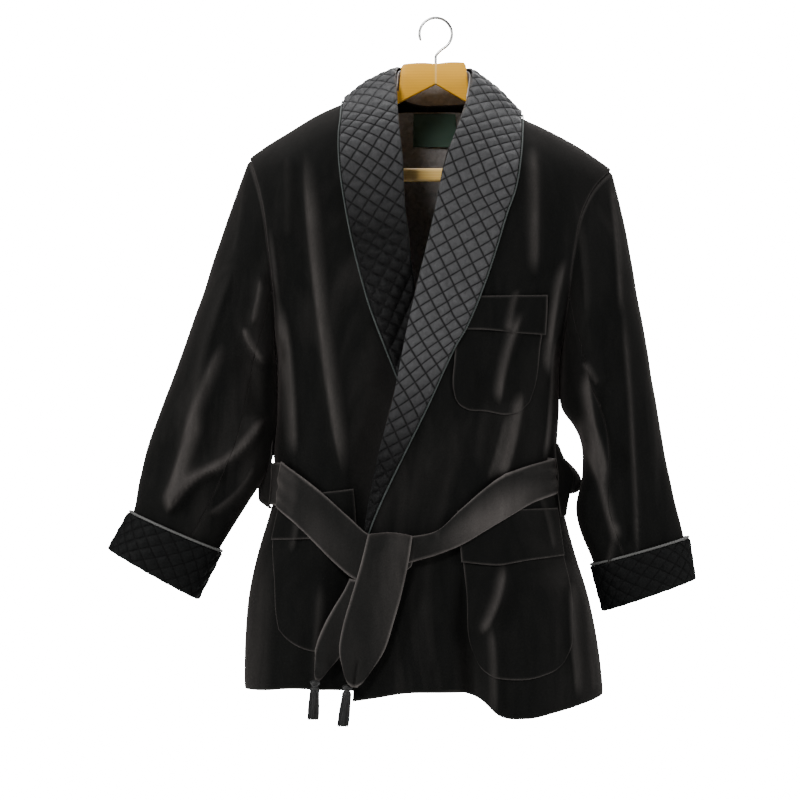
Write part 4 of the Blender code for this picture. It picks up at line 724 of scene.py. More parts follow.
def run_lengths(points, axis):
    """How far along the cloth each point of a grid lies, along one way of the grid."""
    steps = np.linalg.norm(np.diff(points, axis=axis), axis=-1)
    start = np.zeros_like(np.take(steps, [0], axis=axis))
    return np.concatenate([start, np.cumsum(steps, axis=axis)], axis=axis)


def laid_out(face, closed=False):
    """The flat cut of a sheet whose face is a grid: its greatest width and length along the cloth, and
    its area."""
    if closed:
        face = np.concatenate([face, face[:1]])
    width, length = run_lengths(face, 0)[-1].max(), run_lengths(face, 1)[:, -1].max()
    square = np.cross(face[1:, :-1] - face[:-1, :-1], face[:-1, 1:] - face[:-1, :-1])
    area = min(np.linalg.norm(square, axis=-1).sum(), width * length)
    return {"flat": (width, length), "area": area}


def cloth_wall(
    name, face, out, thickness, material, closed=False, edge=0.0030, sink=0.0, crest=None, painted_edge_sheen=0.8
):
    """A sheet of cloth from the grid of its outer face: an inner layer lies a thickness below, and
    towards every edge both layers draw together in a quarter circle. sink presses the edges in, as a seam
    does. The mesh carries a painted sheen, from 0 to 1: along its edges, and on the crests of its
    folds if they are given."""
    width, length = run_lengths(face, 0), run_lengths(face, 1)
    near = np.minimum(length, length[:, -1:] - length)
    if not closed:
        near = np.minimum(near, np.minimum(width, width[-1:] - width))
    full = np.sqrt(1 - (1 - np.clip(near / edge, 0, 1)) ** 2)[..., None]
    way = square_to(face, out, closed)
    pressed = sink * np.exp(-((near / (2.2 * edge)) ** 2))[..., None]
    outer = face - way * (thickness * 0.45 * (1 - full) + pressed)
    inner = face - way * (thickness * (0.55 + 0.45 * full) + pressed)
    columns, rows = face.shape[:2]
    top = grid_quads(columns, rows, closed)
    foot = grid_quads(columns, rows, closed, columns * rows)[:, ::-1]
    index = np.arange(columns * rows).reshape(columns, rows)
    # Painted sheen: light along the edges, and on the folds' crests where they are given.
    painted_sheen = painted_edge_sheen * np.exp(-((near / (0.75 * edge)) ** 2))
    painted_sheen = painted_sheen if crest is None else np.maximum(painted_sheen, crest)
    rims = [index[:, 0], index[::-1, -1]]
    if not closed:
        rims = [np.concatenate([index[:, 0], index[-1, 1:], index[-2::-1, -1], index[0, -2:0:-1]])]
    sides = [
        np.stack([r, r + columns * rows, np.roll(r, -1) + columns * rows, np.roll(r, -1)], axis=-1)
        for r in rims
    ]
    seams = np.stack([width + 0 * length, length], axis=-1)
    faces = np.concatenate([top, foot, *sides])
    wall = make_mesh(name, np.stack([outer, inner]), faces, material, np.stack([seams, seams]))
    layer = wall.data.attributes.new("painted_sheen", "FLOAT", "POINT")
    layer.data.foreach_set("value", np.concatenate([painted_sheen.ravel(), painted_sheen.ravel()]).astype(np.float32))
    return wall


# The velvet's lie: random patches and streaks of laid-over pile, and on top of them the painted sheen that
# the mesh carries.
pile, given, result = grouped(
    "velvet_pile", {"Place": None, "Patch": 9.0, "Streak": 0.08, "PaintedSheen": 0.0}, ["LieAndSheen", "Fleck", "Height"]
)
hanging = node(pile, "VectorMath", {0: given.outputs["Place"], 1: (1.0, 1.0, 0.28)}, operation="MULTIPLY")
patches = node(
    pile,
    "TexNoise",
    {"Vector": hanging.outputs[0], "Scale": given.outputs["Patch"], "Detail": 4.0, "Distortion": 0.8},
)
lie = node(
    pile,
    "MapRange",
    {"Value": patches.outputs["Fac"], "From Min": 0.50, "From Max": 0.80, "To Max": 0.26},
)
streaks = node(
    pile, "TexNoise", {"Vector": hanging.outputs[0], "Scale": 60.0, "Detail": 3.0, "Distortion": 0.5}
)
streaked = node(
    pile, "Math", {0: streaks.outputs["Fac"], 1: given.outputs["Streak"]}, operation="MULTIPLY"
)
nap_and_sheen = node(pile, "Math", {0: lie.outputs[0], 1: streaked.outputs[0]}, operation="ADD")
# Painted sheen from the mesh, varied by the streaks, lightens the pile wherever it is more than the lie.
painted_light_factor = node(pile, "Math", {0: streaks.outputs["Fac"], 1: 0.55}, operation="ADD")
streaked_sheen = node(pile, "Math", {0: given.outputs["PaintedSheen"], 1: painted_light_factor.outputs[0]}, operation="MULTIPLY")
lie_and_sheen = node(
    pile, "Math", {0: nap_and_sheen.outputs[0], 1: streaked_sheen.outputs[0]}, operation="MAXIMUM", use_clamp=True
)
fleck = node(pile, "TexNoise", {"Vector": given.outputs["Place"], "Scale": 1500.0, "Detail": 2.0})
tufts = node(
    pile, "TexNoise", {"Vector": given.outputs["Place"], "Scale": 620.0, "Detail": 3.0, "Roughness": 0.7}
)
plug(
    pile, result, {"LieAndSheen": lie_and_sheen.outputs[0], "Fleck": fleck.outputs["Fac"], "Height": tufts.outputs["Fac"]}
)


def velvet_material(name, deep, raised, sheen, patch=9.0, tint=(0.80, 0.70, 0.66, 1)):
    """Velvet: nearly black where the pile stands, greyer in random patches where it lies over and where a
    painted sheen lies along the folds' crests and the seams, with a shader sheen at the turn of each fold."""
    material, tree, shader = new_material(name)
    place = node(tree, "TexCoord").outputs["Object"]
    # The painted sheen that the mesh carries lightens the colour.
    painted_sheen = node(tree, "Attribute", attribute_name="painted_sheen").outputs["Fac"]
    nap = node(tree, "Group", {"Place": place, "Patch": patch, "PaintedSheen": painted_sheen}, node_tree=pile)
    tone = node(tree, "Mix", {0: nap.outputs["LieAndSheen"], 6: (*deep, 1), 7: (*raised, 1)}, data_type="RGBA")
    varied = {"From Min": 0.3, "From Max": 0.7, "To Min": 0.65, "To Max": 1.35}
    speck = node(tree, "MapRange", {"Value": nap.outputs["Fleck"], **varied})
    flecked = node(tree, "VectorMath", {0: tone.outputs[2], 1: speck.outputs[0]}, operation="MULTIPLY")
    rough = node(tree, "MapRange", {"Value": nap.outputs["LieAndSheen"], "To Min": 0.88, "To Max": 0.66})
    bump = node(tree, "Bump", {"Height": nap.outputs["Height"], "Strength": 0.5, "Distance": 0.0006})
    plug(tree, shader, {"Base Color": flecked.outputs[0], "Roughness": rough.outputs[0]})
    plug(tree, shader, {"Normal": bump.outputs[0], "Specular IOR Level": 0.09})
    plug(tree, shader, {"Sheen Weight": sheen, "Sheen Roughness": 0.38, "Sheen Tint": tint})
    return material


PANEL_CELL = 0.0036
PANEL_WIDE, PANEL_LONG = 0.25, 0.70  # a panel's rough size, for its grid
SEAM_SINK = 0.0006
# Painted sheen just below the shoulder's ridge: how bright, how low and over what reach.
RIDGE_SHEEN, RIDGE_SHEEN_AT, RIDGE_SHEEN_REACH = 0.11, 0.008, 0.030
body_velvet = velvet_material(
    "black_velvet", deep=(0.0011, 0.0015, 0.0013), raised=(0.060, 0.054, 0.051), sheen=0.11
)
for side, wearers in ((-1, "right"), (1, "left")):
    for shape, part in ((front_panel, "front"), (back_panel, "back")):
        across, along = np.meshgrid(
            spaced(PANEL_WIDE, PANEL_CELL), spaced(PANEL_LONG, PANEL_CELL), indexing="ij"
        )
        out = side if part == "front" else -side
        face = shape(side, across, along)
        x, drop = face[..., 0], -face[..., 2]
        # Painted sheen on the folds' crests, just below the shoulder's ridge and along the edges.
        crest = CREST_SHARE * painted_crest_sheen(FRONT_FOLDS if part == "front" else BACK_FOLDS, x, drop)
        below_ridge = (drop - over_ridge(x) - RIDGE_SHEEN_AT) / RIDGE_SHEEN_REACH
        crest = np.maximum(crest, RIDGE_SHEEN * np.exp(-(below_ridge**2)))
        look = {"sink": SEAM_SINK, "crest": crest, "painted_edge_sheen": 0.35}
        panel = cloth_wall(f"velvet_{part}_{wearers}", face, out, CLOTH, body_velvet, **look)
        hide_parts(f"{part}_{wearers}")
        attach(panel, "root")


# The sleeves
# Each is cut in two pieces, joined by a seam in front and one behind, and set into the armhole.
# The cloth bends at the elbow, where folds run slanting from the inside of the arm down to the outside.

SLEEVES = {
    -1: [
        # outer x and drop, inner x and drop, y of the middle, half depth
        (-0.240, 0.178, -0.206, 0.430, -0.004, 0.070),
        (-0.262, 0.240, -0.2036, 0.450, -0.003, 0.071),
        (-0.280, 0.292, -0.2022, 0.467, -0.005, 0.069),
        (-0.298, 0.348, -0.2018, 0.485, -0.007, 0.066),
        (-0.318, 0.408, -0.2018, 0.508, -0.009, 0.062),
        (-0.342, 0.473, -0.2040, 0.540, -0.011, 0.057),
        (-0.366, 0.538, -0.2162, 0.582, -0.013, 0.050),
        (-0.380, 0.592, -0.2400, 0.622, -0.016, 0.043),
        (-0.3890, 0.636, -0.2790, 0.684, -0.020, 0.034),
        (-0.4150, 0.680, -0.3088, 0.743, -0.022, 0.0285),
    ],
    1: [
        (0.226, 0.193, 0.1612, 0.435, -0.004, 0.070),
        (0.2375, 0.240, 0.1590, 0.452, -0.003, 0.071),
        (0.2480, 0.290, 0.1584, 0.468, -0.005, 0.069),
        (0.2565, 0.340, 0.1588, 0.486, -0.007, 0.066),
        (0.2660, 0.390, 0.1630, 0.504, -0.009, 0.062),
        (0.2735, 0.440, 0.1775, 0.526, -0.011, 0.057),
        (0.2835, 0.497, 0.1870, 0.552, -0.013, 0.051),
        (0.2925, 0.550, 0.1875, 0.590, -0.016, 0.045),
        (0.3030, 0.605, 0.1800, 0.632, -0.020, 0.040),
        (0.3197, 0.672, 0.2030, 0.7038, -0.022, 0.0333),
        (0.3280, 0.719, 0.2190, 0.757, -0.022, 0.0285),
    ],
}
ARM_FOLDS = {
    # as the body's folds; the first list is in front and the second behind
    -1: (
        [
            (-0.246, 0.290, -0.318, 0.560, -0.012, 0.018, 0.008, -0.4),
            (-0.262, 0.400, -0.340, 0.640, -0.010, 0.012, 0.008, 0.4),
            (-0.222, 0.330, -0.236, 0.400, 0.002, 0.007, 0.009, 0.5),
            (-0.214, 0.450, -0.246, 0.395, 0.004, 0.008, 0.010, -0.5),
            (-0.216, 0.505, -0.290, 0.582, 0.010, 0.009, 0.012, -0.5),
            (-0.262, 0.572, -0.346, 0.640, -0.014, 0.009, 0.011, -0.5),
            (-0.226, 0.560, -0.300, 0.640, 0.012, 0.009, 0.006, 0.4),
            (-0.300, 0.500, -0.352, 0.630, 0.006, 0.012, 0.006, 0.3),
            (-0.250, 0.430, -0.228, 0.520, 0.004, 0.016, -0.008, 0.0),
            (-0.246, 0.190, -0.262, 0.320, 0.003, 0.010, 0.003, 0.0),
        ],
        [
            (-0.226, 0.470, -0.350, 0.560, -0.012, 0.012, 0.009, 0.4),
            (-0.230, 0.530, -0.365, 0.600, -0.010, 0.011, 0.008, -0.4),
            (-0.250, 0.280, -0.300, 0.470, 0.008, 0.018, 0.006, 0.2),
            (-0.300, 0.560, -0.345, 0.690, 0.006, 0.013, 0.006, 0.3),
        ],
    ),
    1: (
        [
            (0.2225, 0.190, 0.2350, 0.390, 0.002, 0.0050, 0.0065, -0.4),
            (0.2335, 0.340, 0.2570, 0.720, 0.004, 0.0052, 0.0065, -0.4),
            (0.190, 0.440, 0.218, 0.590, -0.006, 0.010, 0.011, -0.5),
            (0.200, 0.520, 0.232, 0.680, -0.006, 0.009, 0.009, 0.4),
            (0.183, 0.505, 0.216, 0.600, -0.008, 0.009, 0.007, 0.4),
            (0.180, 0.440, 0.205, 0.475, 0.004, 0.009, 0.006, 0.4),
            (0.176, 0.240, 0.190, 0.400, 0.004, 0.012, 0.004, 0.3),
            (0.228, 0.640, 0.212, 0.720, 0.003, 0.009, 0.005, 0.2),
            (0.262, 0.380, 0.284, 0.600, 0.003, 0.014, 0.004, 0.2),
            (0.205, 0.350, 0.212, 0.480, 0.003, 0.016, -0.006, 0.0),
        ],
        [
            (0.190, 0.470, 0.276, 0.540, 0.010, 0.012, 0.009, 0.4),
            (0.192, 0.540, 0.280, 0.590, 0.010, 0.011, 0.008, -0.4),
            (0.215, 0.280, 0.240, 0.450, 0.006, 0.018, 0.006, 0.2),
            (0.235, 0.580, 0.255, 0.700, 0.004, 0.012, 0.006, 0.3),
        ],
    ),
}
# The cap's edge is tucked in under the armhole: over what share of the sleeve, how deep and how far.
TUCK_SHARE, TUCK_DEPTH, TUCK_REACH = 0.006, 0.0016, 0.0034
SLEEVE_FULLNESS = 1.35
SLEEVE_CELL = 0.0030
CAP_FADE = 0.30  # share of the sleeve over which it turns from the armhole's shape to its own
FOREARM_SEAM = 0.31  # turns round the sleeve from its outer line to the seam in front
HINDARM_SEAM = 0.67  # and to the seam behind
SLEEVE_LONG = 0.46  # a sleeve's rough length, for its grid
SLEEVE_PARTS = [
    # name, turns where the cloth starts and ends, rough width for its grid
    ("top", HINDARM_SEAM + 0.002, 1 + FOREARM_SEAM, 0.24),
    ("under", FOREARM_SEAM, HINDARM_SEAM, 0.14),
]
CAP_SEAM_SHEEN, CAP_SEAM_AT, CAP_SEAM_REACH = 0.45, 0.005, 0.0028  # painted highlight along the armhole's seam


def rings(table, turn, along):
    """A tube from a table of slanting rings: each is an ellipse between its outer and inner point, turn
    goes once round from the outer one by way of the front, and its numbers change smoothly along the
    arm."""
    middle = np.array([[(row[0] + row[2]) / 2, (row[1] + row[3]) / 2] for row in table])
    stops = np.concatenate([[0], np.cumsum(np.linalg.norm(np.diff(middle, axis=0), axis=1))])
    stops = stops / stops[-1]
    out_x, out_drop, in_x, in_drop, y, half = (through(along, stops, column(table, k)) for k in range(6))
    swing = np.cos(2 * np.pi * turn)
    x = (out_x + in_x) / 2 + (out_x - in_x) / 2 * swing
    drop = (out_drop + in_drop) / 2 + (out_drop - in_drop) / 2 * swing
    return np.stack([x, y - half * np.sin(2 * np.pi * turn), -drop], axis=-1)


def sleeve(side, turn, along):
    """A sleeve starts as its armhole and fades to its own rings; its folds push it out square to the arm,
    in front and behind, and die away towards its outer line."""
    turn = turn % 1.0
    angle = 2 * np.pi * turn
    front = np.stack(armhole(side, -1, np.minimum(angle, np.pi)), axis=-1)
    back = np.stack(armhole(side, 1, np.minimum(2 * np.pi - angle, np.pi)), axis=-1)
    hole = np.where((angle <= np.pi)[..., None], front, back)
    hole = hole * np.array([1, 1, -1])
    fade = 1 - soft_step(along / CAP_FADE)
    place = rings(SLEEVES[side], turn, along)
    place = place + (hole - rings(SLEEVES[side], turn, 0 * along)) * fade[..., None]
    tuck = np.exp(-((along / TUCK_SHARE) ** 2))[..., None]
    inwards = np.array([hole[..., 0].mean(), 0, hole[..., 2].mean()]) - place
    inwards = inwards * np.array([0, 1, 1])
    inwards = inwards / np.linalg.norm(inwards, axis=-1, keepdims=True)
    place = place + tuck * (inwards * TUCK_DEPTH - np.array([side * TUCK_REACH, 0, 0]))
    x, drop = place[..., 0], -place[..., 2]
    facing = np.sin(angle)
    height = np.where(facing > 0, folds(ARM_FOLDS[side][0], x, drop), folds(ARM_FOLDS[side][1], x, drop))
    height = (height * SLEEVE_FULLNESS + ripple(x, drop, 0.0011)) * np.sqrt(np.abs(facing))
    height = height * soft_step(along / 0.06) * soft_step((1 - along) / 0.05)
    place[..., 1] -= np.sign(facing) * height
    place[..., 0] += side * np.cos(angle) * ripple(drop, x, 0.0010) * soft_step(along / 0.1)
    return place


for side, wearers in ((-1, "right"), (1, "left")):
    for part, start, end, wide in SLEEVE_PARTS:
        across, along = np.meshgrid(
            spaced(wide, SLEEVE_CELL), spaced(SLEEVE_LONG, SLEEVE_CELL), indexing="ij"
        )
        turn = start + (end - start) * across
        face = sleeve(side, turn, along)
        in_front, behind = (
            painted_crest_sheen(table, face[..., 0], -face[..., 2]) for table in ARM_FOLDS[side]
        )
        # Painted sheen on the folds' crests and a little along the edges, and a painted highlight along the
        # armhole's seam.
        crest = CREST_SHARE * np.where(np.sin(2 * np.pi * turn) < 0, behind, in_front)
        seam_sheen = CAP_SEAM_SHEEN * np.exp(-(((along - CAP_SEAM_AT) / CAP_SEAM_REACH) ** 2))
        look = {"sink": 0.0005, "crest": np.maximum(crest, seam_sheen), "painted_edge_sheen": 0.15}
        arm = cloth_wall(f"velvet_sleeve_{wearers}_{part}", face, side, CLOTH, body_velvet, **look)
        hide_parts(f"sleeve_{wearers}_{part}")
        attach(arm, "root")


# The quilted cuffs and their cords
# Each cuff is a turned-back ring of satin over wadding, stitched in squares that stand on a corner.
# A twisted cord is sewn along its upper edge.

CUFFS = {
    # the rings' six numbers at the cuff's top and foot
    -1: [(-0.394, 0.634, -0.274, 0.686, -0.020, 0.039), (-0.421, 0.682, -0.305, 0.747, -0.022, 0.033)],
    1: [(0.325, 0.667, 0.198, 0.703, -0.022, 0.038), (0.333, 0.721, 0.214, 0.762, -0.022, 0.033)],
}
QUILT_SQUARE = 0.0152  # side of a quilted square
QUILT_SLANT = np.radians(35)  # between the collar's length and the nearer way of its stitching
QUILT_PUFF = 0.0026
CUFF_PUFF = 0.0014
CUFF_WALL = 0.0034
CUFF_AROUND = 17  # squares round a cuff, corner to corner
CUFF_DEEP = 3.2  # and down it
CUFF_COLUMNS, CUFF_ROWS = 272, 54


def quilted(p, q):
    """Height of a quilt from 0 on its seams to 1 in a square's middle: the sines of both ways of its
    stitching, multiplied and flattened; p and q count squares."""
    return (np.abs(np.sin(np.pi * p)) * np.abs(np.sin(np.pi * q))) ** 0.45


stitching, given, result = grouped("quilt_stitching", {"Squares": None}, ["Seam", "Puff"])
parted = node(stitching, "SeparateXYZ", {0: given.outputs["Squares"]})
ways = [node(stitching, "Math", {0: parted.outputs[k], 1: 0.5}, operation="PINGPONG") for k in (0, 1)]
nearer = node(stitching, "Math", {0: ways[0].outputs[0], 1: ways[1].outputs[0]}, operation="MINIMUM")
seam = node(
    stitching, "MapRange", {"Value": nearer.outputs[0], "From Max": 0.13}, interpolation_type="SMOOTHSTEP"
)
swell = node(stitching, "Math", {0: ways[0].outputs[0], 1: ways[1].outputs[0]}, operation="MULTIPLY")
dome = node(stitching, "Math", {0: swell.outputs[0], 1: 0.4}, operation="POWER")
plug(stitching, result, {"Seam": seam.outputs[0], "Puff": dome.outputs[0]})


weave, given, result = grouped(
    "fine_weave", {"Place": None, "Threads": 1700.0}, ["Thread", "Pucker", "Height"]
)
spun = {"Vector": given.outputs["Place"], "Scale": given.outputs["Threads"], "Distortion": 0.6}
across_it = node(weave, "TexWave", spun, bands_direction="X")
down_it = node(weave, "TexWave", spun, bands_direction="Y")
threads = node(
    weave, "Math", {0: across_it.outputs["Fac"], 1: down_it.outputs["Fac"]}, operation="MULTIPLY"
)
puckers = node(
    weave,
    "TexNoise",
    {"Vector": given.outputs["Place"], "Scale": 130.0, "Detail": 3.0, "Distortion": 1.2},
)
height = node(weave, "Math", {0: threads.outputs[0], 1: 0.10}, operation="MULTIPLY")
summed = node(weave, "Math", {0: height.outputs[0], 1: puckers.outputs["Fac"]}, operation="ADD")
plug(
    weave,
    result,
    {"Thread": threads.outputs[0], "Pucker": puckers.outputs["Fac"], "Height": summed.outputs[0]},
)


def satin_material(name, dark, light, rough, pucker, stitched=False, gloss=0.5, fade=(0.0, 1.0, 1.0)):
    """Satin: fine threads across and along, small puckers, and on a quilt a painted shade in the crease at
    each line of stitches, placed by the squares that the mesh carries. fade is the two drops between which
    a painted shade darkens it, and how far."""
    material, tree, shader = new_material(name)
    cloth = node(tree, "Group", {"Place": node(tree, "TexCoord").outputs["UV"]}, node_tree=weave)
    tone = node(
        tree, "Mix", {0: cloth.outputs["Pucker"], 6: (*dark, 1), 7: (*light, 1)}, data_type="RGBA"
    )
    parted = node(tree, "SeparateXYZ", {0: node(tree, "TexCoord").outputs["Object"]})
    # Painted shade: the colour darkens between the two drops of fade.
    down_to = {"From Min": -fade[1], "From Max": -fade[0], "To Min": fade[2]}
    painted_light_factor = node(tree, "MapRange", {"Value": parted.outputs["Z"], **down_to})
    colour = node(
        tree, "VectorMath", {0: tone.outputs[2], 1: painted_light_factor.outputs[0]}, operation="MULTIPLY"
    ).outputs[0]
    height = cloth.outputs["Height"]
    if stitched:
        squares = node(tree, "UVMap", uv_map="squares").outputs[0]
        quilt = node(tree, "Group", {"Squares": squares}, node_tree=stitching)
        # Painted shade in the quilting's creases: the colour goes nearly black along each line of stitches.
        seam = node(tree, "MapRange", {"Value": quilt.outputs["Seam"], "To Min": 0.02, "To Max": 1.0})
        colour = node(
            tree, "VectorMath", {0: colour, 1: seam.outputs[0]}, operation="MULTIPLY"
        ).outputs[0]
        swollen = node(
            tree, "Math", {0: quilt.outputs["Puff"], 1: 3.0, 2: height}, operation="MULTIPLY_ADD"
        )
        height = swollen.outputs[0]
    rougher = {"To Min": rough - 0.08, "To Max": rough + 0.10}
    shine = node(tree, "MapRange", {"Value": cloth.outputs["Pucker"], **rougher})
    deep = 0.0012 if stitched else 0.0008
    bump = node(tree, "Bump", {"Height": height, "Strength": pucker, "Distance": deep})
    plug(tree, shader, {"Base Color": colour, "Roughness": shine.outputs[0], "Normal": bump.outputs[0]})
    plug(
        tree, shader, {"Specular IOR Level": gloss, "Sheen Weight": 0.24 * gloss, "Sheen Roughness": 0.4}
    )
    return material


def keep_squares(piece, p, q):
    """Stores where each point of both layers lies on the quilt, for the satin's seams."""
    keep_places(piece.data, "squares", np.tile(np.stack([p.ravel(), q.ravel()], axis=-1), (2, 1)))


cord_twist, given, result = grouped(
    "cord_strands", {"Place": None, "Fineness": 900.0}, ["Strand", "Height"]
)
fibres = node(
    cord_twist,
    "TexNoise",
    {"Vector": given.outputs["Place"], "Scale": given.outputs["Fineness"], "Detail": 3.0},
)
plug(cord_twist, result, {"Strand": fibres.outputs["Fac"], "Height": fibres.outputs["Fac"]})


def cord_material(name, dark, light, sheen):
    """Twisted thread: two greys that change with its fibres, and a soft sheen."""
    material, tree, shader = new_material(name)
    strands = node(
        tree, "Group", {"Place": node(tree, "TexCoord").outputs["Object"]}, node_tree=cord_twist
    )
    tone = node(
        tree, "Mix", {0: strands.outputs["Strand"], 6: (*dark, 1), 7: (*light, 1)}, data_type="RGBA"
    )
    bump = node(tree, "Bump", {"Height": strands.outputs["Height"], "Strength": 0.5, "Distance": 0.0004})
    plug(tree, shader, {"Base Color": tone.outputs[2], "Normal": bump.outputs[0], "Roughness": 0.55})
    plug(tree, shader, {"Sheen Weight": sheen})
    return material


def twisted(path, radius, pitch, around, closed=False):
    """A cord of two plies laid round each other: its radius swells by |cos| of the turn less the twist
    along it."""
    steps = np.linalg.norm(np.diff(path, axis=0), axis=1)
    length = np.concatenate([[0], np.cumsum(steps)])
    turn = np.arange(around) / around * 2 * np.pi
    phase = turn[None, :] - np.pi * length[:, None] / pitch
    return carried(path, radius * (0.72 + 0.34 * np.abs(np.cos(phase))), around, closed)


def resampled(path, step, closed=False):
    """The same path with its points an even step apart, read along its length."""
    if closed:
        path = np.concatenate([path, path[:1]])
    length = np.concatenate([[0], np.cumsum(np.linalg.norm(np.diff(path, axis=0), axis=1))])
    at = np.linspace(0, length[-1], max(4, int(length[-1] / step)) + 1)
    even = np.stack([np.interp(at, length, path[:, k]) for k in range(3)], axis=-1)
    return even[:-1] if closed else even


CORD = 0.0016
CORD_PITCH = 0.0040
CORD_AROUND = 12
CORD_STEP = 0.00055
CUFF_COLOURS = {"dark": (0.0014, 0.0016, 0.0016), "light": (0.0050, 0.0054, 0.0054)}
cuff_satin = satin_material(
    "cuff_satin", **CUFF_COLOURS, rough=0.52, pucker=0.5, stitched=True, gloss=0.08
)
pale_cord = cord_material("pale_cord", dark=(0.035, 0.035, 0.034), light=(0.105, 0.104, 0.10), sheen=0.2)
for side, wearers in ((-1, "right"), (1, "left")):
    turn, down = np.meshgrid(
        np.arange(CUFF_COLUMNS) / CUFF_COLUMNS, np.linspace(0, 1, CUFF_ROWS), indexing="ij"
    )
    base = rings(CUFFS[side], turn, down)
    p, q = turn * CUFF_AROUND + down * CUFF_DEEP, turn * CUFF_AROUND - down * CUFF_DEEP
    puff = quilted(p, q) * soft_step(down / 0.04) * soft_step((1 - down) / 0.04)
    face = base + square_to(base, side, closed=True) * (CUFF_PUFF * puff)[..., None]
    cuff = cloth_wall(f"quilted_cuff_{wearers}", face, side, CUFF_WALL, cuff_satin, closed=True)
    keep_squares(cuff, p, q)
    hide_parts(f"cuff_{wearers}")
    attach(cuff, "root")
    turns = np.arange(160) / 160
    edge = rings(CUFFS[side], turns, 0 * turns)
    up = edge - rings(CUFFS[side], turns, 0 * turns + 0.2)
    inward = edge.mean(axis=0) - edge
    path = edge + up / np.linalg.norm(up, axis=1, keepdims=True) * CORD * 0.9
    path = path + inward / np.linalg.norm(inward, axis=1, keepdims=True) * 0.0010
    path = resampled(path, CORD_STEP, closed=True)
    cord = twisted(path, CORD, CORD_PITCH, around=CORD_AROUND, closed=True)
    trim = make_mesh(
        f"cuff_trim_{wearers}", cord, ring_faces(len(path), CORD_AROUND, closed=True), pale_cord
    )
    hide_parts(f"cuff_cord_{wearers}")
    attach(trim, "root")


# The lining at the back of the neck, the collar's stand and the bare label
# Dark satin lines the back and shows in the open neck. The stand rises from the neck seam to the fold.
# A small square of plain woven ribbon is sewn below it.


def inside_back(across, along):
    """The back's outer face between the shoulders, from the neck down."""
    x = -0.115 + 0.215 * across
    drop = 0.113 + 0.020 * np.abs(2 * across - 1) ** 3 + 0.330 * along
    return np.stack([x, body_y(1, x, drop), -drop], axis=-1)


LINING_WIDE, LINING_LONG, LINING_CELL = 0.215, 0.33, 0.004
LINING_WALL = 0.0010
LINING_GAP = 0.0012  # between the lining and the velvet
LINING_SLACK = 0.004  # how far it stands further off at its two sides
LABEL_FROM, LABEL_WIDE = 0.40, 0.266  # shares of the lining's width
LABEL_TOP, LABEL_DEEP = 0.002, 0.135  # shares of its length
LABEL_CELL = 0.003
LINING_COLOURS = {"dark": (0.115, 0.108, 0.106), "light": (0.36, 0.335, 0.33)}
lining_satin = satin_material("lining_satin", **LINING_COLOURS, rough=0.30, pucker=0.5)
across, along = np.meshgrid(
    spaced(LINING_WIDE, LINING_CELL), spaced(LINING_LONG, LINING_CELL), indexing="ij"
)
face = inside_back(across, along)
face = face - square_to(face, 1) * (CLOTH + LINING_GAP)
face[..., 1] -= LINING_SLACK * np.abs(across - 0.49) / 0.5
face[..., 1] -= 0.0012 * np.sin(52 * face[..., 0] + 14 * face[..., 2])
back_lining = cloth_wall("satin_back_lining", face, 1, LINING_WALL, lining_satin, edge=0.001)
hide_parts("back_lining")
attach(back_lining, "root")

ribbon, tree, shader = new_material("plain_ribbon")
place = node(tree, "TexCoord").outputs["UV"]
cloth = node(tree, "Group", {"Place": place, "Threads": 800.0}, node_tree=weave)
greens = {6: (0.026, 0.056, 0.038, 1), 7: (0.066, 0.130, 0.092, 1)}
tone = node(tree, "Mix", {0: cloth.outputs["Thread"], **greens}, data_type="RGBA")
bump = node(tree, "Bump", {"Height": cloth.outputs["Thread"], "Strength": 0.4, "Distance": 0.0003})
plug(tree, shader, {"Base Color": tone.outputs[2], "Normal": bump.outputs[0], "Roughness": 0.6})
over = LABEL_FROM + LABEL_WIDE * spaced(0.057, LABEL_CELL, 0.001)
down = LABEL_TOP + LABEL_DEEP * spaced(0.045, LABEL_CELL, 0.001)
across, along = np.meshgrid(over, down, indexing="ij")
face = inside_back(across, along)
face = face - square_to(face, 1) * (CLOTH + 0.0040)
face[..., 1] -= LINING_SLACK * np.abs(across - 0.49) / 0.5 + 0.0006
label = cloth_wall("bare_label", face, 1, 0.0006, ribbon, edge=0.0006)
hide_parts("neck_label")
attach(label, "root")


# The three patch pockets with their turned bands
# One on the wearer's left breast and one on each hip, rounded at the foot and sewn on round three sides.
# Their tops are turned over in a wide band, which stands a little off the pocket at its lower edge.

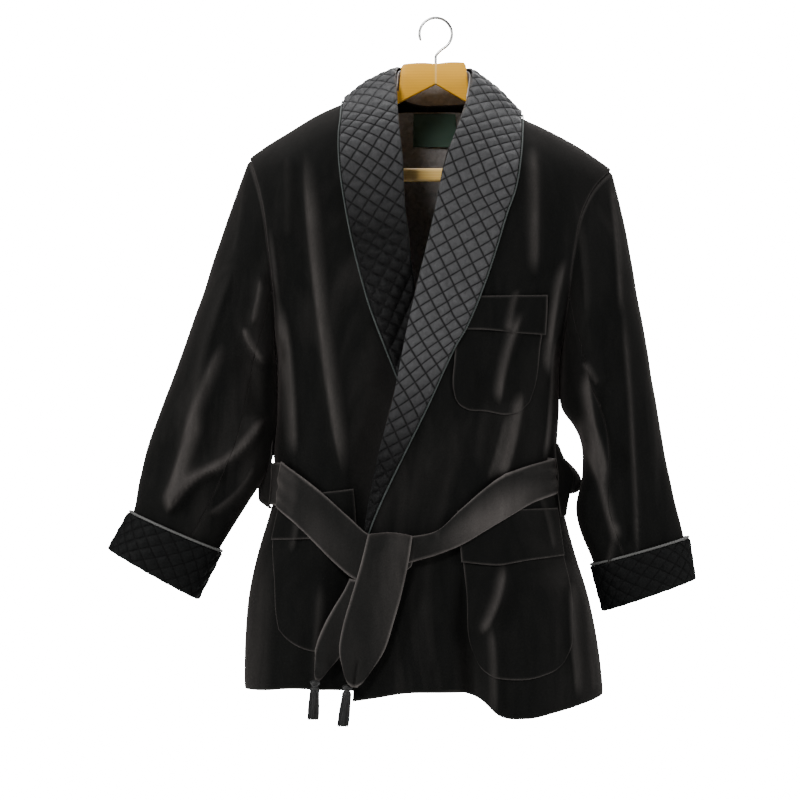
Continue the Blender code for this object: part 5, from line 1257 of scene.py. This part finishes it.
POCKET_WALL = 0.0018
LAID_ON = 0.0005  # how far a piece lies off the cloth under it
POCKET_CELL, POCKET_EDGE = 0.0024, 0.0022
POCKETS = {
    # each edge's x and drop, the top and foot from left to right, and the sides from the top down
    "breast_pocket": (
        [(0.0280, 0.364), (0.0800, 0.363), (0.1385, 0.362)],
        [(0.1385, 0.362), (0.1345, 0.405), (0.1325, 0.420), (0.1265, 0.470), (0.1190, 0.4930)],
        [
            (0.0240, 0.4890), (0.0300, 0.4975), (0.0400, 0.5030), (0.0620, 0.5050), (0.0880, 0.5090),
            (0.1050, 0.5055), (0.1190, 0.4930),
        ],
        [(0.0280, 0.364), (0.0260, 0.400), (0.0225, 0.440), (0.0210, 0.475), (0.0240, 0.4890)],
    ),
    "breast_pocket_band": (
        [(0.0275, 0.360), (0.0800, 0.359), (0.1405, 0.358)],
        [(0.1405, 0.358), (0.1400, 0.380), (0.1385, 0.4085)],
        [(0.0275, 0.4020), (0.0600, 0.4020), (0.1000, 0.4060), (0.1385, 0.4085)],
        [(0.0275, 0.360), (0.0270, 0.380), (0.0275, 0.4020)],
    ),
    "hip_pocket_left": (
        [(0.0290, 0.640), (0.0900, 0.638), (0.1560, 0.636)],
        [
            (0.1560, 0.636), (0.1640, 0.692), (0.1700, 0.7200), (0.1735, 0.7680), (0.1700, 0.8050),
            (0.1620, 0.8210),
        ],
        [
            (0.0480, 0.8140), (0.0560, 0.8280), (0.0680, 0.8365), (0.1020, 0.8420), (0.1330, 0.8375),
            (0.1520, 0.8300), (0.1620, 0.8210),
        ],
        [(0.0290, 0.640), (0.0330, 0.6900), (0.0375, 0.7340), (0.0425, 0.7990), (0.0480, 0.8140)],
    ),
    "hip_band_left": (
        [(0.0260, 0.6300), (0.0900, 0.629), (0.1560, 0.6280)],
        [(0.1560, 0.6280), (0.1600, 0.657), (0.1640, 0.6880)],
        [(0.0315, 0.6950), (0.0780, 0.6985), (0.1190, 0.6930), (0.1640, 0.6880)],
        [(0.0260, 0.6300), (0.0285, 0.662), (0.0315, 0.6950)],
    ),
    "hip_pocket_right": (
        [(-0.2000, 0.620), (-0.1500, 0.616), (-0.1050, 0.612)],
        [(-0.1050, 0.612), (-0.1020, 0.660), (-0.1090, 0.720), (-0.1130, 0.770), (-0.1190, 0.7930)],
        [
            (-0.2000, 0.7810), (-0.1900, 0.7920), (-0.1740, 0.8020), (-0.1580, 0.8070), (-0.1400, 0.8065),
            (-0.1270, 0.8010), (-0.1190, 0.7930),
        ],
        [(-0.2000, 0.620), (-0.2090, 0.6700), (-0.2060, 0.720), (-0.2030, 0.7660), (-0.2000, 0.7810)],
    ),
    "hip_band_right": (
        [(-0.1990, 0.6130), (-0.1500, 0.6080), (-0.1045, 0.6030)],
        [(-0.1045, 0.6030), (-0.1020, 0.630), (-0.1005, 0.6600)],
        [(-0.2110, 0.6685), (-0.1800, 0.6670), (-0.1500, 0.6655), (-0.1005, 0.6600)],
        [(-0.1990, 0.6130), (-0.2050, 0.640), (-0.2110, 0.6685)],
    ),
}


def along_edge(table, at):
    """x and drop on an edge: a smooth curve through its table, read by its length."""
    points = np.array([row[:2] for row in table], float)
    stops = np.concatenate([[0], np.cumsum(np.hypot(*np.diff(points, axis=0).T))])
    return np.stack([through(at, stops / stops[-1], points[:, k]) for k in range(2)], axis=-1)


def between(edges, across, along):
    """A patch filled in from its four edges (Coons): both pairs of opposite edges blended and added, less
    the blend of the four corners."""
    top, right, foot, left = edges
    u, v = across[..., None], along[..., None]
    sides = along_edge(left, along) * (1 - u) + along_edge(right, along) * u
    ends = along_edge(top, across) * (1 - v) + along_edge(foot, across) * v
    corners = [np.array(table[k][:2]) for table in (top, foot) for k in (0, -1)]
    upper = corners[0] * (1 - u) + corners[1] * u
    lower = corners[2] * (1 - u) + corners[3] * u
    square = upper * (1 - v) + lower * v
    return (sides + ends - square).transpose(2, 0, 1)


def on_both(x, drop, spread=0.010):
    """y of whichever front lies outermost, passing from one to the other over a spread."""
    left_laps = soft_step((x - roll_x(1, drop) + spread) / spread)
    return front_y(-1, x, drop) * (1 - left_laps) + front_y(1, x, drop) * left_laps


def patch_size(edges):
    """The greater of a patch's two widths, and of its two lengths."""
    table = [np.array([row[:2] for row in edge]) for edge in edges]
    lengths = [np.hypot(*np.diff(points, axis=0).T).sum() for points in table]
    return max(lengths[0], lengths[2]), max(lengths[1], lengths[3])


for name, edges in POCKETS.items():
    side = -1 if name.endswith("right") else 1
    wide, deep = patch_size(edges)
    across, along = np.meshgrid(
        spaced(wide, POCKET_CELL, POCKET_EDGE), spaced(deep, POCKET_CELL, POCKET_EDGE), indexing="ij"
    )
    x, drop = between(edges, across, along)
    lift = 0.0008 * np.sin(np.pi * across) * (1 - along)
    if "band" in name:
        lift = 0.0022 + 0.0016 * along**2
    wave = 0.0028 * np.sin(3.1 * np.pi * across + 1) * along * (1 - along)
    lift = LAID_ON + POCKET_WALL + lift + wave
    face = np.stack([x, front_y(side, x, drop) - lift, -drop], axis=-1)
    # Painted sheen on the folds' crests and along the pocket's edges.
    crest = CREST_SHARE * painted_crest_sheen(FRONT_FOLDS, x, drop)
    look = {"edge": POCKET_EDGE, "crest": crest, "painted_edge_sheen": 0.6}
    pocket = cloth_wall(f"velvet_{name}", face, -1, POCKET_WALL, body_velvet, **look)
    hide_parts(name)
    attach(pocket, "root")
    wearers = "right" if side < 0 else "left"


# The quilted shawl collar with its piping, and the collar's stand
# Two halves of dark satin over wadding, quilted in squares at a slant, meet at the centre back.
# Each rolls over at the fold and lies down on its front to a point below the belt. A thin cord edges it.

LEFT_LAPEL = [
    # x and drop of the roll line, x and drop of the outer edge
    (-0.0930, 0.664, -0.0895, 0.666),
    (-0.0885, 0.636, -0.0790, 0.638),
    (-0.0820, 0.600, -0.0620, 0.600),
    (-0.0700, 0.545, -0.0360, 0.546),
    (-0.0570, 0.498, -0.0105, 0.494),
    (-0.0475, 0.452, 0.0155, 0.437),
    (-0.0385, 0.405, 0.0370, 0.397),
    (-0.0270, 0.355, 0.0560, 0.352),
    (-0.0150, 0.305, 0.0720, 0.305),
    (-0.0045, 0.260, 0.0860, 0.260),
    (0.0060, 0.210, 0.0985, 0.222),
    (0.0170, 0.170, 0.1050, 0.185),
]
RIGHT_LAPEL = [
    (0.0300, 0.610, 0.0250, 0.613),
    (0.0230, 0.570, 0.0110, 0.573),
    (0.0110, 0.520, -0.0140, 0.527),
    (-0.0010, 0.470, -0.0380, 0.484),
    (-0.0120, 0.425, -0.0600, 0.433),
    (-0.0220, 0.375, -0.0790, 0.384),
    (-0.0300, 0.330, -0.0935, 0.335),
    (-0.0360, 0.280, -0.1060, 0.284),
    (-0.0402, 0.235, -0.1150, 0.236),
    (-0.0420, 0.190, -0.1210, 0.190),
    (-0.0460, 0.152, -0.1220, 0.158),
]
NECK = {
    # fold line x, y, drop, outer edge x, y, drop, and how far the fall bulges between them
    -1: [
        (-0.0485, -0.055, 0.119, -0.1200, -0.038, 0.134, 0.003),
        (-0.0500, -0.028, 0.088, -0.1180, -0.012, 0.1087, 0.005),
        (-0.0500, 0.004, 0.068, -0.1150, 0.012, 0.1078, 0.008),
        (-0.0450, 0.032, 0.061, -0.1000, 0.052, 0.1230, 0.010),
        (-0.0290, 0.051, 0.059, -0.0620, 0.074, 0.1280, 0.009),
        (-0.0038, 0.058, 0.059, -0.0108, 0.083, 0.1290, 0.007),
    ],
    1: [
        (0.0300, -0.067, 0.136, 0.1080, -0.048, 0.152, 0.002),
        (0.0395, -0.042, 0.104, 0.1095, -0.018, 0.1268, 0.005),
        (0.0450, -0.010, 0.077, 0.1080, 0.008, 0.1252, 0.008),
        (0.0440, 0.022, 0.064, 0.0960, 0.046, 0.1340, 0.010),
        (0.0290, 0.047, 0.060, 0.0620, 0.070, 0.1330, 0.009),
        (0.0080, 0.057, 0.059, 0.0180, 0.082, 0.1300, 0.008),
        (-0.0062, 0.058, 0.059, -0.0132, 0.083, 0.1290, 0.007),
    ],
}
LAPEL_WALL = 0.0022
PIPING = 0.0011
PIPING_PITCH = 0.0034


def collar_rows(side):
    """Rows of fold line and outer edge from the lapel's point to the centre back, their shares of its
    length, and the share at which it leaves the front."""
    rows = []
    for fold_x, fold_drop, edge_x, edge_drop in LEFT_LAPEL if side > 0 else RIGHT_LAPEL:
        fold_y = float(front_y(side, np.float64(fold_x), np.float64(fold_drop)))
        edge_y = float(front_y(side, np.float64(edge_x), np.float64(edge_drop)))
        rows.append((fold_x, fold_y, fold_drop, edge_x, edge_y, edge_drop, 0.0))
    laid = len(rows)
    rows = np.array(rows + NECK[side])
    middle = (rows[:, :3] * 3 + rows[:, 3:6]) / 4
    length = np.cumsum(np.concatenate([[0], np.linalg.norm(np.diff(middle, axis=0), axis=1)]))
    return rows, length / length[-1], length[-1], length[laid - 1] / length[-1]


def collar(side, across, along):
    """Half the collar: on the front it follows the front's face, and round the neck it arches from the
    fold line to its edge by a sine, kept outside the shoulders."""
    rows, stops, _, lay_end = collar_rows(side)
    fold_x, fold_y, fold_drop, edge_x, edge_y, edge_drop, bulge = (
        through(along, stops, rows[:, k]) for k in range(7)
    )
    x = fold_x + (edge_x - fold_x) * across
    y = fold_y + (edge_y - fold_y) * across
    drop = fold_drop + (edge_drop - fold_drop) * across
    free = np.stack([0.6 * (edge_x - fold_x), edge_y - fold_y + 0 * across, 0.06 + 0 * drop], axis=-1)
    free = free / np.linalg.norm(free, axis=-1, keepdims=True)
    arch = np.stack([x, y, -drop], axis=-1) + free * (np.sin(np.pi * across) * bulge)[..., None]
    past_roll = soft_step((side * (arch[..., 0] - roll_x(side, -arch[..., 2])) + 0.030) / 0.028)
    in_front = np.minimum(arch[..., 1], front_y(side, arch[..., 0], -arch[..., 2]))
    behind = np.maximum(arch[..., 1], body_y(1, arch[..., 0], -arch[..., 2]))
    below_seam = soft_step((-arch[..., 2] - BACK_NECK_DROP) / 0.008)
    pushed = np.where(
        fold_y + edge_y < 0, (in_front - arch[..., 1]) * past_roll, (behind - arch[..., 1]) * below_seam
    )
    arch[..., 1] += np.where(-arch[..., 2] > over_ridge(arch[..., 0]), pushed, 0)
    lay = soft_step((lay_end + 0.04 - along) / 0.06)[..., None]
    laid_on = np.stack([x, front_y(side, x, drop) - over_pocket(side, x, drop), -drop], axis=-1)
    return arch + (laid_on - arch) * lay


def evened(grid, times):
    """The same grid with its points moved towards their neighbours along it, but for those near its two
    ends."""
    for _ in range(times):
        grid[:, 7:-7] = grid[:, 7:-7] / 2 + (grid[:, 6:-8] + grid[:, 8:-6]) / 4
    return grid


def over_pocket(side, x, drop):
    """How far the left lapel is raised by the breast pocket under it."""
    if side < 0:
        return 0 * x
    in_height = soft_step((drop - 0.344) / 0.014) * soft_step((0.47 - drop) / 0.02)
    return 0.0044 * soft_step((x - 0.016) / 0.014) * in_height


# Painted shade darkens the satin down each half, and sooner on the right one, which lies in the left one's
# shade.
COLLAR_FADE = {-1: (0.13, 0.28, 0.045), 1: (0.43, 0.57, 0.03)}
COLLAR_COLOURS = {"dark": (0.034, 0.034, 0.035), "light": (0.088, 0.088, 0.091)}
COLLAR_CELL, COLLAR_EDGE = 0.0017, 0.0024
PIPING_AROUND = 8
PIPING_STEP = 0.00065
green_cord = cord_material(
    "grey_green_cord", dark=(0.010, 0.016, 0.014), light=(0.030, 0.040, 0.036), sheen=0.15
)
for side, wearers in ((-1, "right"), (1, "left")):
    finish = {"rough": 0.42, "pucker": 0.9, "stitched": True, "gloss": 0.13, "fade": COLLAR_FADE[side]}
    collar_satin = satin_material(f"collar_satin_{wearers}", **COLLAR_COLOURS, **finish)
    rows, stops, length, _ = collar_rows(side)
    width = np.linalg.norm(rows[:, 3:6] - rows[:, :3], axis=1)
    across, along = np.meshgrid(
        spaced(0.085, COLLAR_CELL, COLLAR_EDGE), spaced(length, COLLAR_CELL, COLLAR_EDGE), indexing="ij"
    )
    base = evened(collar(side, across, along), 14)
    wide = through(along, stops, width)
    a, b = along * length, across * wide
    p = (b * np.cos(QUILT_SLANT) + a * np.sin(QUILT_SLANT)) / QUILT_SQUARE
    q = (a * np.cos(QUILT_SLANT) - b * np.sin(QUILT_SLANT)) / QUILT_SQUARE
    rim = soft_step(np.minimum(b, wide - b) / 0.0035) * soft_step(np.minimum(a, length - a) / 0.0030)
    puff = quilted(p, q) * rim
    face = base + square_to(base, side) * (LAID_ON + LAPEL_WALL + QUILT_PUFF * puff)[..., None]
    half = cloth_wall(f"quilted_collar_{wearers}", face, side, LAPEL_WALL, collar_satin, edge=0.0022)
    keep_squares(half, p, q)
    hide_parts(f"shawl_{wearers}")
    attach(half, "root")
    at = np.linspace(0.008, 0.998, 900)
    edge = collar(side, 1 + 0 * at[None], at[None])[0]
    inner = collar(side, 0.97 + 0 * at[None], at[None])[0]
    beyond = edge - inner
    beyond = beyond / np.linalg.norm(beyond, axis=1, keepdims=True)
    way = square_to(collar(side, *np.meshgrid([0.94, 0.97, 1.0], at, indexing="ij")), side)[1]
    path = evened((edge + beyond * (PIPING + 0.0006) + way * (LAID_ON + 0.0012))[None], 30)[0]
    path = resampled(path, PIPING_STEP)
    cord = twisted(path, PIPING, PIPING_PITCH, around=PIPING_AROUND)
    trim = make_mesh(f"collar_trim_{wearers}", cord, ring_faces(len(path), PIPING_AROUND), green_cord)
    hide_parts(f"piping_{wearers}")
    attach(trim, "root")


NECK_SEAM = [
    # x, drop and facing of points on the neck seam, from the right front to the left one
    (-0.0590, 0.0965, -1),
    (-0.0640, 0.0895, 1),
    (-0.0560, 0.1000, 1),
    (-0.0350, 0.1100, 1),
    (-0.0050, 0.1125, 1),
    (0.0180, 0.1125, 1),
    (0.0380, 0.1110, 1),
    (0.0520, 0.1065, 1),
    (0.0620, 0.1050, 1),
    (0.0565, 0.1085, -1),
]


def collar_stand(across, along):
    """The stand: straight up from a curve just inside the neck seam to one just inside the fold line."""
    fold = np.array([r[:3] for r in NECK[-1][1:]] + [r[:3] for r in NECK[1][-2:0:-1]])
    seam = [
        (x, float(body_y(facing, np.float64(x), np.float64(drop))), drop) for x, drop, facing in NECK_SEAM
    ]
    seam = np.array(seam)

    def inside(line, distance, lower):
        """A curve through the line's points, moved a distance towards the middle of the neck and
        lower."""
        place = np.stack(
            [through(across, np.linspace(0, 1, len(line)), line[:, k]) for k in range(3)], axis=-1
        )
        inward = (np.array([0, 0.005, 0]) - place) * np.array([1, 1, 0])
        return place + inward / np.linalg.norm(
            inward, axis=-1, keepdims=True
        ) * distance + np.array([0, 0, lower])

    at_fold, at_seam = inside(fold, 0.0010, 0.0012), inside(seam, 0.0028, -0.0034)
    return (at_fold + (at_seam - at_fold) * along[..., None]) * np.array([1, 1, -1])


across, along = np.meshgrid(spaced(0.24, 0.003, 0.002), spaced(0.045, 0.003, 0.002), indexing="ij")
face = collar_stand(across, along)
stand = cloth_wall("satin_stand", face, 1, 0.0022, lining_satin, edge=0.002)
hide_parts("collar_stand")
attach(stand, "root")


# The belt
# A long band of doubled velvet goes round the back through two loops, comes down both fronts and is tied
# low on the wearer's right. One end folds over the knot and hangs in front, and the other hangs behind
# it.

BELT_WALL = 0.0036
BELT_JOIN = np.radians(26)
SIDE_PUFF = {-1: 0.0140, 1: 0.0230}  # how far the gathered belt stands out where it goes round each side
BELT_RUNS = {
    # upper edge, knot end, lower edge, loop end
    "right": (
        [
            (-0.1985, 0.5680), (-0.1680, 0.5900), (-0.1400, 0.6120), (-0.1120, 0.6370), (-0.0870, 0.6583),
            (-0.0600, 0.6690),
        ],
        [(-0.0600, 0.6690), (-0.0480, 0.6900), (-0.0620, 0.7100)],
        [
            (-0.2050, 0.6265), (-0.1780, 0.6490), (-0.1520, 0.6740), (-0.1280, 0.6970), (-0.1041, 0.7159),
            (-0.0800, 0.7230), (-0.0620, 0.7100),
        ],
        [(-0.1985, 0.5680), (-0.2040, 0.5950), (-0.2050, 0.6265)],
    ),
    "left": (
        [
            (0.1520, 0.5640), (0.1150, 0.5740), (0.0781, 0.5900), (0.0560, 0.6060), (0.0307, 0.6276),
            (-0.0038, 0.6563), (-0.0200, 0.6600), (-0.0400, 0.6620),
        ],
        [(-0.0400, 0.6620), (-0.0520, 0.6790), (-0.0420, 0.6970)],
        [
            (0.1560, 0.6090), (0.1250, 0.6200), (0.0986, 0.6349), (0.0650, 0.6540), (0.0307, 0.6737),
            (0.0000, 0.6860), (-0.0243, 0.6930), (-0.0420, 0.6970),
        ],
        [(0.1520, 0.5640), (0.1560, 0.5870), (0.1560, 0.6090)],
    ),
}
END_UNDER = (
    [(-0.1100, 0.7150), (-0.0900, 0.7190), (-0.0700, 0.7260)],
    [(-0.0700, 0.7260), (-0.0850, 0.7500), (-0.1050, 0.7900), (-0.1220, 0.8150), (-0.1400, 0.8360)],
    [(-0.1545, 0.8340), (-0.1525, 0.8420), (-0.1490, 0.8445), (-0.1450, 0.8420), (-0.1400, 0.8360)],
    [
        (-0.1100, 0.7150), (-0.1158, 0.7276), (-0.1290, 0.7500), (-0.1421, 0.7747), (-0.1520, 0.8000),
        (-0.1545, 0.8340),
    ],
)
END_FRONT = (
    [(-0.0867, 0.6590), (-0.0550, 0.6570), (-0.0300, 0.6610)],
    [
        (-0.0300, 0.6610), (-0.0345, 0.6900), (-0.0430, 0.7300), (-0.0538, 0.7690), (-0.0660, 0.8060),
        (-0.0860, 0.8370),
    ],
    [(-0.1165, 0.8370), (-0.1110, 0.8475), (-0.1030, 0.8510), (-0.0950, 0.8470), (-0.0860, 0.8370)],
    [
        (-0.0867, 0.6590), (-0.0960, 0.6976), (-0.1083, 0.7390), (-0.1185, 0.7747), (-0.1230, 0.8050),
        (-0.1165, 0.8370),
    ],
)
KNOT = (
    [(-0.0840, 0.6640), (-0.0700, 0.6590), (-0.0450, 0.6580), (-0.0280, 0.6640)],
    [(-0.0280, 0.6640), (-0.0250, 0.6800), (-0.0320, 0.7000)],
    [(-0.0900, 0.7020), (-0.0800, 0.7150), (-0.0600, 0.7180), (-0.0450, 0.7120), (-0.0320, 0.7000)],
    [(-0.0840, 0.6640), (-0.0910, 0.6820), (-0.0900, 0.7020)],
)


def round_body(turn, drop):
    """A place on the body's level curve without its folds: turn is 0 at the wearer's right, and pi at the
    left."""
    left, right = body_side(1, drop), body_side(-1, drop)
    reach = np.sign(np.cos(turn)) * np.abs(np.cos(turn)) ** (2 / ROUNDNESS)
    deep = np.sign(np.sin(turn)) * np.abs(np.sin(turn)) ** (2 / ROUNDNESS)
    depths = [through(drop, column(BODY, 0), column(BODY, k)) for k in (3, 4)]
    x = (left + right) / 2 - (left - right) / 2 * reach
    return np.stack([x, np.where(np.sin(turn) > 0, depths[1], depths[0]) * deep, -drop], axis=-1)


def belt_bulge(turn, along):
    """How far the belt's outer face stands off the body's curve: most at the two sides and below its
    middle, from where it fades quickly to the front and slowly to the back."""
    behind = np.minimum(turn, np.pi - turn)
    near_side = np.exp(-((behind / np.where(behind > 0, 0.60, 0.18)) ** 2))
    puff = np.where(turn < np.pi / 2, SIDE_PUFF[-1], SIDE_PUFF[1]) * near_side
    sunk = 0.0022 * soft_step((-behind - 0.20) / 0.12)
    rise = np.where(turn < np.pi / 2, 0.14, 0.08)
    puff = puff * np.sin(np.pi * (rise + (0.71 - rise) * along))
    return 0.0051 + 0.0030 * np.sin(np.pi * along) + puff - sunk


def belt_round(across, along):
    """The belt's back part: round the body's own curve, a belt's width high, its ends under the two
    runs."""
    turn = -BELT_JOIN + (np.pi + 2 * BELT_JOIN) * across
    drop = 0.570 - 0.006 * across**4 + (0.0565 - 0.012 * across**4) * along
    place = round_body(turn, drop)
    return place + square_to(place, 1) * belt_bulge(turn, along)[..., None]


def laid_belt(name, edges, lift, out, material, cell=0.0026, nap_and_sheen=0.0):
    """A part of the belt between four edges, held off the outermost front by lift, a function of its two
    shares. Its last argument is a painted sheen near the middle of its lower half."""
    wide, deep = patch_size(edges)
    across, along = np.meshgrid(spaced(wide, cell, 0.0034), spaced(deep, cell, 0.0034), indexing="ij")
    x, drop = between(edges, across, along)
    face = np.stack([x, on_both(x, drop, 0.060) - lift(across, along, x, drop), -drop], axis=-1)
    # Painted sheen near the middle of the lower half.
    crest = nap_and_sheen * np.exp(-(((across - 0.42) / 0.26) ** 2) - ((along - 0.85) / 0.50) ** 2)
    part = cloth_wall(name, face, out, BELT_WALL, material, edge=0.0034, crest=crest)
    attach(part, "root")
    return part, laid_out(face)


def run_lift(across, along, x, drop):
    """Over the front and its pocket, fuller in the middle of the belt and higher towards the knot."""
    over_lapel = 0.0045 * soft_step((0.004 - np.abs(x + 0.070)) / 0.012)
    full = 0.0085 + 0.0022 * np.sin(np.pi * along) + 0.0030 * soft_step((across - 0.6) / 0.4) + over_lapel
    near_loop = soft_step((0.26 - across) / 0.26)
    gathers = near_loop * (0.0026 * np.sin(6 * np.pi * along + 0.6 + 2 * across) + 0.0066)
    return full + gathers + 0.0012 * np.sin(7 * across + 3 * along)


BELT_COLOURS = {"deep": (0.0062, 0.0064, 0.0060), "raised": (0.105, 0.094, 0.089)}
BELT_SHEEN = {"right": 0.12, "left": 0.55}  # how bright the painted sheen is on each front's run
belt_velvet = velvet_material("belt_velvet", **BELT_COLOURS, sheen=0.20, patch=11.0)
across, along = np.meshgrid(spaced(0.58, 0.0035), spaced(0.057, 0.003), indexing="ij")
face = belt_round(across, along)
round_back = cloth_wall("belt_round_back", face, 1, BELT_WALL, belt_velvet, edge=0.0034)
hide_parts("belt_back")
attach(round_back, "root")
for wearers, out in (("right", -1), ("left", 1)):
    run, cut = laid_belt(
        f"belt_down_{wearers}", BELT_RUNS[wearers], run_lift, out, belt_velvet, nap_and_sheen=BELT_SHEEN[wearers]
    )
    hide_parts(f"belt_run_{wearers}")


def under_lift(across, along, x, drop):
    """Close to the front, and fuller down its middle."""
    fold = 0.0040 * np.exp(
        -(((along - 0.80 - 0.12 * across) / 0.05) ** 2)
    ) * soft_step((0.9 - across) / 0.4)
    return 0.0085 + 0.0025 * np.sin(np.pi * across) + fold + 0.0030 * soft_step((0.2 - along) / 0.2)


def knot_lift(across, along, x, drop):
    """Fullest in its middle, by a sine each way."""
    return 0.0085 + 0.0050 * np.sin(np.pi * across) * np.sin(np.pi * along)


def front_lift(across, along, x, drop):
    """Rolled over the top of the knot in a quarter circle, out over it in a bell, and down to lie on the
    other end."""
    over_top = np.sqrt(1 - (1 - np.clip(along / 0.045, 0, 1)) ** 2)
    bulge = 0.0150 + 0.0080 * np.exp(-(((along - 0.12) / 0.18) ** 2))
    folded = 0.0008 * np.sin(3 * np.pi * across + 0.5) * soft_step((0.35 - along) / 0.3)
    crease = -0.0034 * np.exp(-(((across - 0.46) / 0.055) ** 2)) * soft_step((along - 0.74) / 0.12)
    return 0.006 + (bulge - 0.006) * over_top + folded + crease + 0.0020 * np.sin(np.pi * across) * along


for name, edges, lift, replaced in (
    ("belt_end_behind", END_UNDER, under_lift, "belt_end_under"),
    ("tied_knot", KNOT, knot_lift, "belt_knot"),
    ("belt_end_over", END_FRONT, front_lift, "belt_end_front"),
):
    part, cut = laid_belt(name, edges, lift, -1, belt_velvet, 0.0022)
    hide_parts(replaced)


# The belt's loops
# A strip of velvet about 30 mm wide at each side seam, sewn down at both ends over the belt.

LOOP_WALL = 0.0016
LOOP_EDGE = 0.0012
LOOP_GRID = 0.011  # width that sets how many columns a loop's grid has
LOOPS = {
    # drops of its top and foot and of the belt's edges under it, and its two edges in degrees before the
    # side
    -1: (0.516, 0.631, 0.570, 0.6265, 1, 14),
    1: (0.546, 0.640, 0.564, 0.6085, 8, 19),
}
for side, wearers in ((-1, "right"), (1, "left")):
    top, foot, belt_top, belt_foot, start, end = LOOPS[side]
    across, along = np.meshgrid(
        spaced(LOOP_GRID, 0.0012, LOOP_EDGE), spaced(foot - top, 0.0022, LOOP_EDGE), indexing="ij"
    )
    drop = top + (foot - top) * along
    turn = -np.radians(start + (end - start) * across * (0.80 + 0.20 * soft_step(along / 0.35)))
    turn = turn if side < 0 else np.pi - turn
    over_belt = belt_bulge(turn, np.clip((drop - belt_top) / (belt_foot - belt_top), 0, 1)) + 0.0022
    taut = np.clip((drop - top) / (belt_top - top), 0, 1) * np.clip(
        (foot - drop) / (foot - belt_foot), 0, 1
    )
    stand_off = 0.0026 + (over_belt - 0.0026) * taut
    face = round_body(turn, drop)
    face = face + square_to(face, side) * stand_off[..., None]
    loop = cloth_wall(f"loop_{wearers}", face, side, LOOP_WALL, body_velvet, edge=LOOP_EDGE)
    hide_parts(f"belt_loop_{wearers}")
    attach(loop, "root")


# The tassels
# Each belt end carries a short tassel: a bound head of cord, and a skirt of cut threads below it.

TASSELS = {
    # top x and drop, foot x and drop, and how far the tassel hangs in front of the cloth
    "front": (-0.1115, 0.8480, -0.1180, 0.9010, 0.0175),
    "under": (-0.1525, 0.8420, -0.1553, 0.8925, 0.0095),
}
HEAD_RADIUS = 0.0063
HEAD_LENGTH = 0.0130
STRANDS = 150
STRAND_RADIUS = 0.00055
STRAND_AROUND = 5
STRAND_STEPS = 8
HEAD_AROUND, HEAD_STEPS = 24, 40
BINDING = 0.0011  # pitch of the cord bound round the head
HEAD_SHAPE = [
    # share of the head's length, share of its radius
    (0.00, 0.25),
    (0.06, 0.62),
    (0.22, 0.98),
    (0.42, 0.86),
    (0.55, 0.62),
    (0.66, 0.64),
    (0.80, 0.86),
    (1.00, 0.95),
]
GOLDEN_TURN = 2.39996  # radians from one strand to the next, which spreads them evenly over the head's foot
dark_thread = cord_material(
    "tassel_thread", dark=(0.0008, 0.0008, 0.0008), light=(0.0052, 0.0050, 0.0048), sheen=0.04
)
for name, (top_x, top_drop, foot_x, foot_drop, stand_off) in TASSELS.items():
    top = np.array(
        [top_x, on_both(np.float64(top_x), np.float64(min(top_drop, 0.85))) - stand_off, -top_drop]
    )
    foot = np.array([foot_x, top[1] - 0.001, -foot_drop])
    axis = (foot - top) / np.linalg.norm(foot - top)
    t = np.linspace(0, 1, HEAD_STEPS)
    profile = HEAD_RADIUS * through(t, column(HEAD_SHAPE, 0), column(HEAD_SHAPE, 1))
    bound = 1 + 0.05 * np.abs(np.sin(np.pi * HEAD_LENGTH * t / BINDING))
    head = carried(
        top + axis * HEAD_LENGTH * t[:, None], (profile * bound)[:, None], HEAD_AROUND, upright=(0, 1, 0)
    ).reshape(-1, 3)
    faces = ring_faces(HEAD_STEPS, HEAD_AROUND)
    number = np.arange(STRANDS)
    radius = HEAD_RADIUS * 0.92 * np.sqrt((number + 0.5) / STRANDS)
    angle = number * GOLDEN_TURN
    s = np.linspace(0, 1, STRAND_STEPS)
    length = np.linalg.norm(foot - top) - HEAD_LENGTH + 0.0015 * np.sin(number * 1.7)
    aside = np.array([np.cos(angle), np.sin(angle), 0 * angle]).T
    root = top + axis * (HEAD_LENGTH - 0.0015) + aside * radius[:, None]
    spread = 1 + 0.22 * s[None, :] ** 0.8 + 0.06 * np.sin(number[:, None] * 3.3 + 5 * s[None, :])
    line = root[:, None] + axis * (length[:, None] * s[None, :])[..., None]
    line = line + aside[:, None] * (radius[:, None] * (spread - 1))[..., None]
    around = np.arange(STRAND_AROUND) / STRAND_AROUND * 2 * np.pi
    ring = np.stack([np.cos(around), np.sin(around), 0 * around], axis=-1) * STRAND_RADIUS
    strands = (
        line[:, :, None] + ring[None, None] * (1 - 0.35 * s**3)[None, :, None, None]
    ).reshape(-1, 3)
    one = ring_faces(STRAND_STEPS, STRAND_AROUND)
    starts = [len(head) + k * STRAND_STEPS * STRAND_AROUND for k in range(STRANDS)]
    faces += [[start + corner for corner in face] for start in starts for face in one]
    tassel = make_mesh(f"thread_tassel_{name}", np.concatenate([head, strands]), faces, dark_thread)
    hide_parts(f"tassel_{name}")
    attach(tassel, "root")
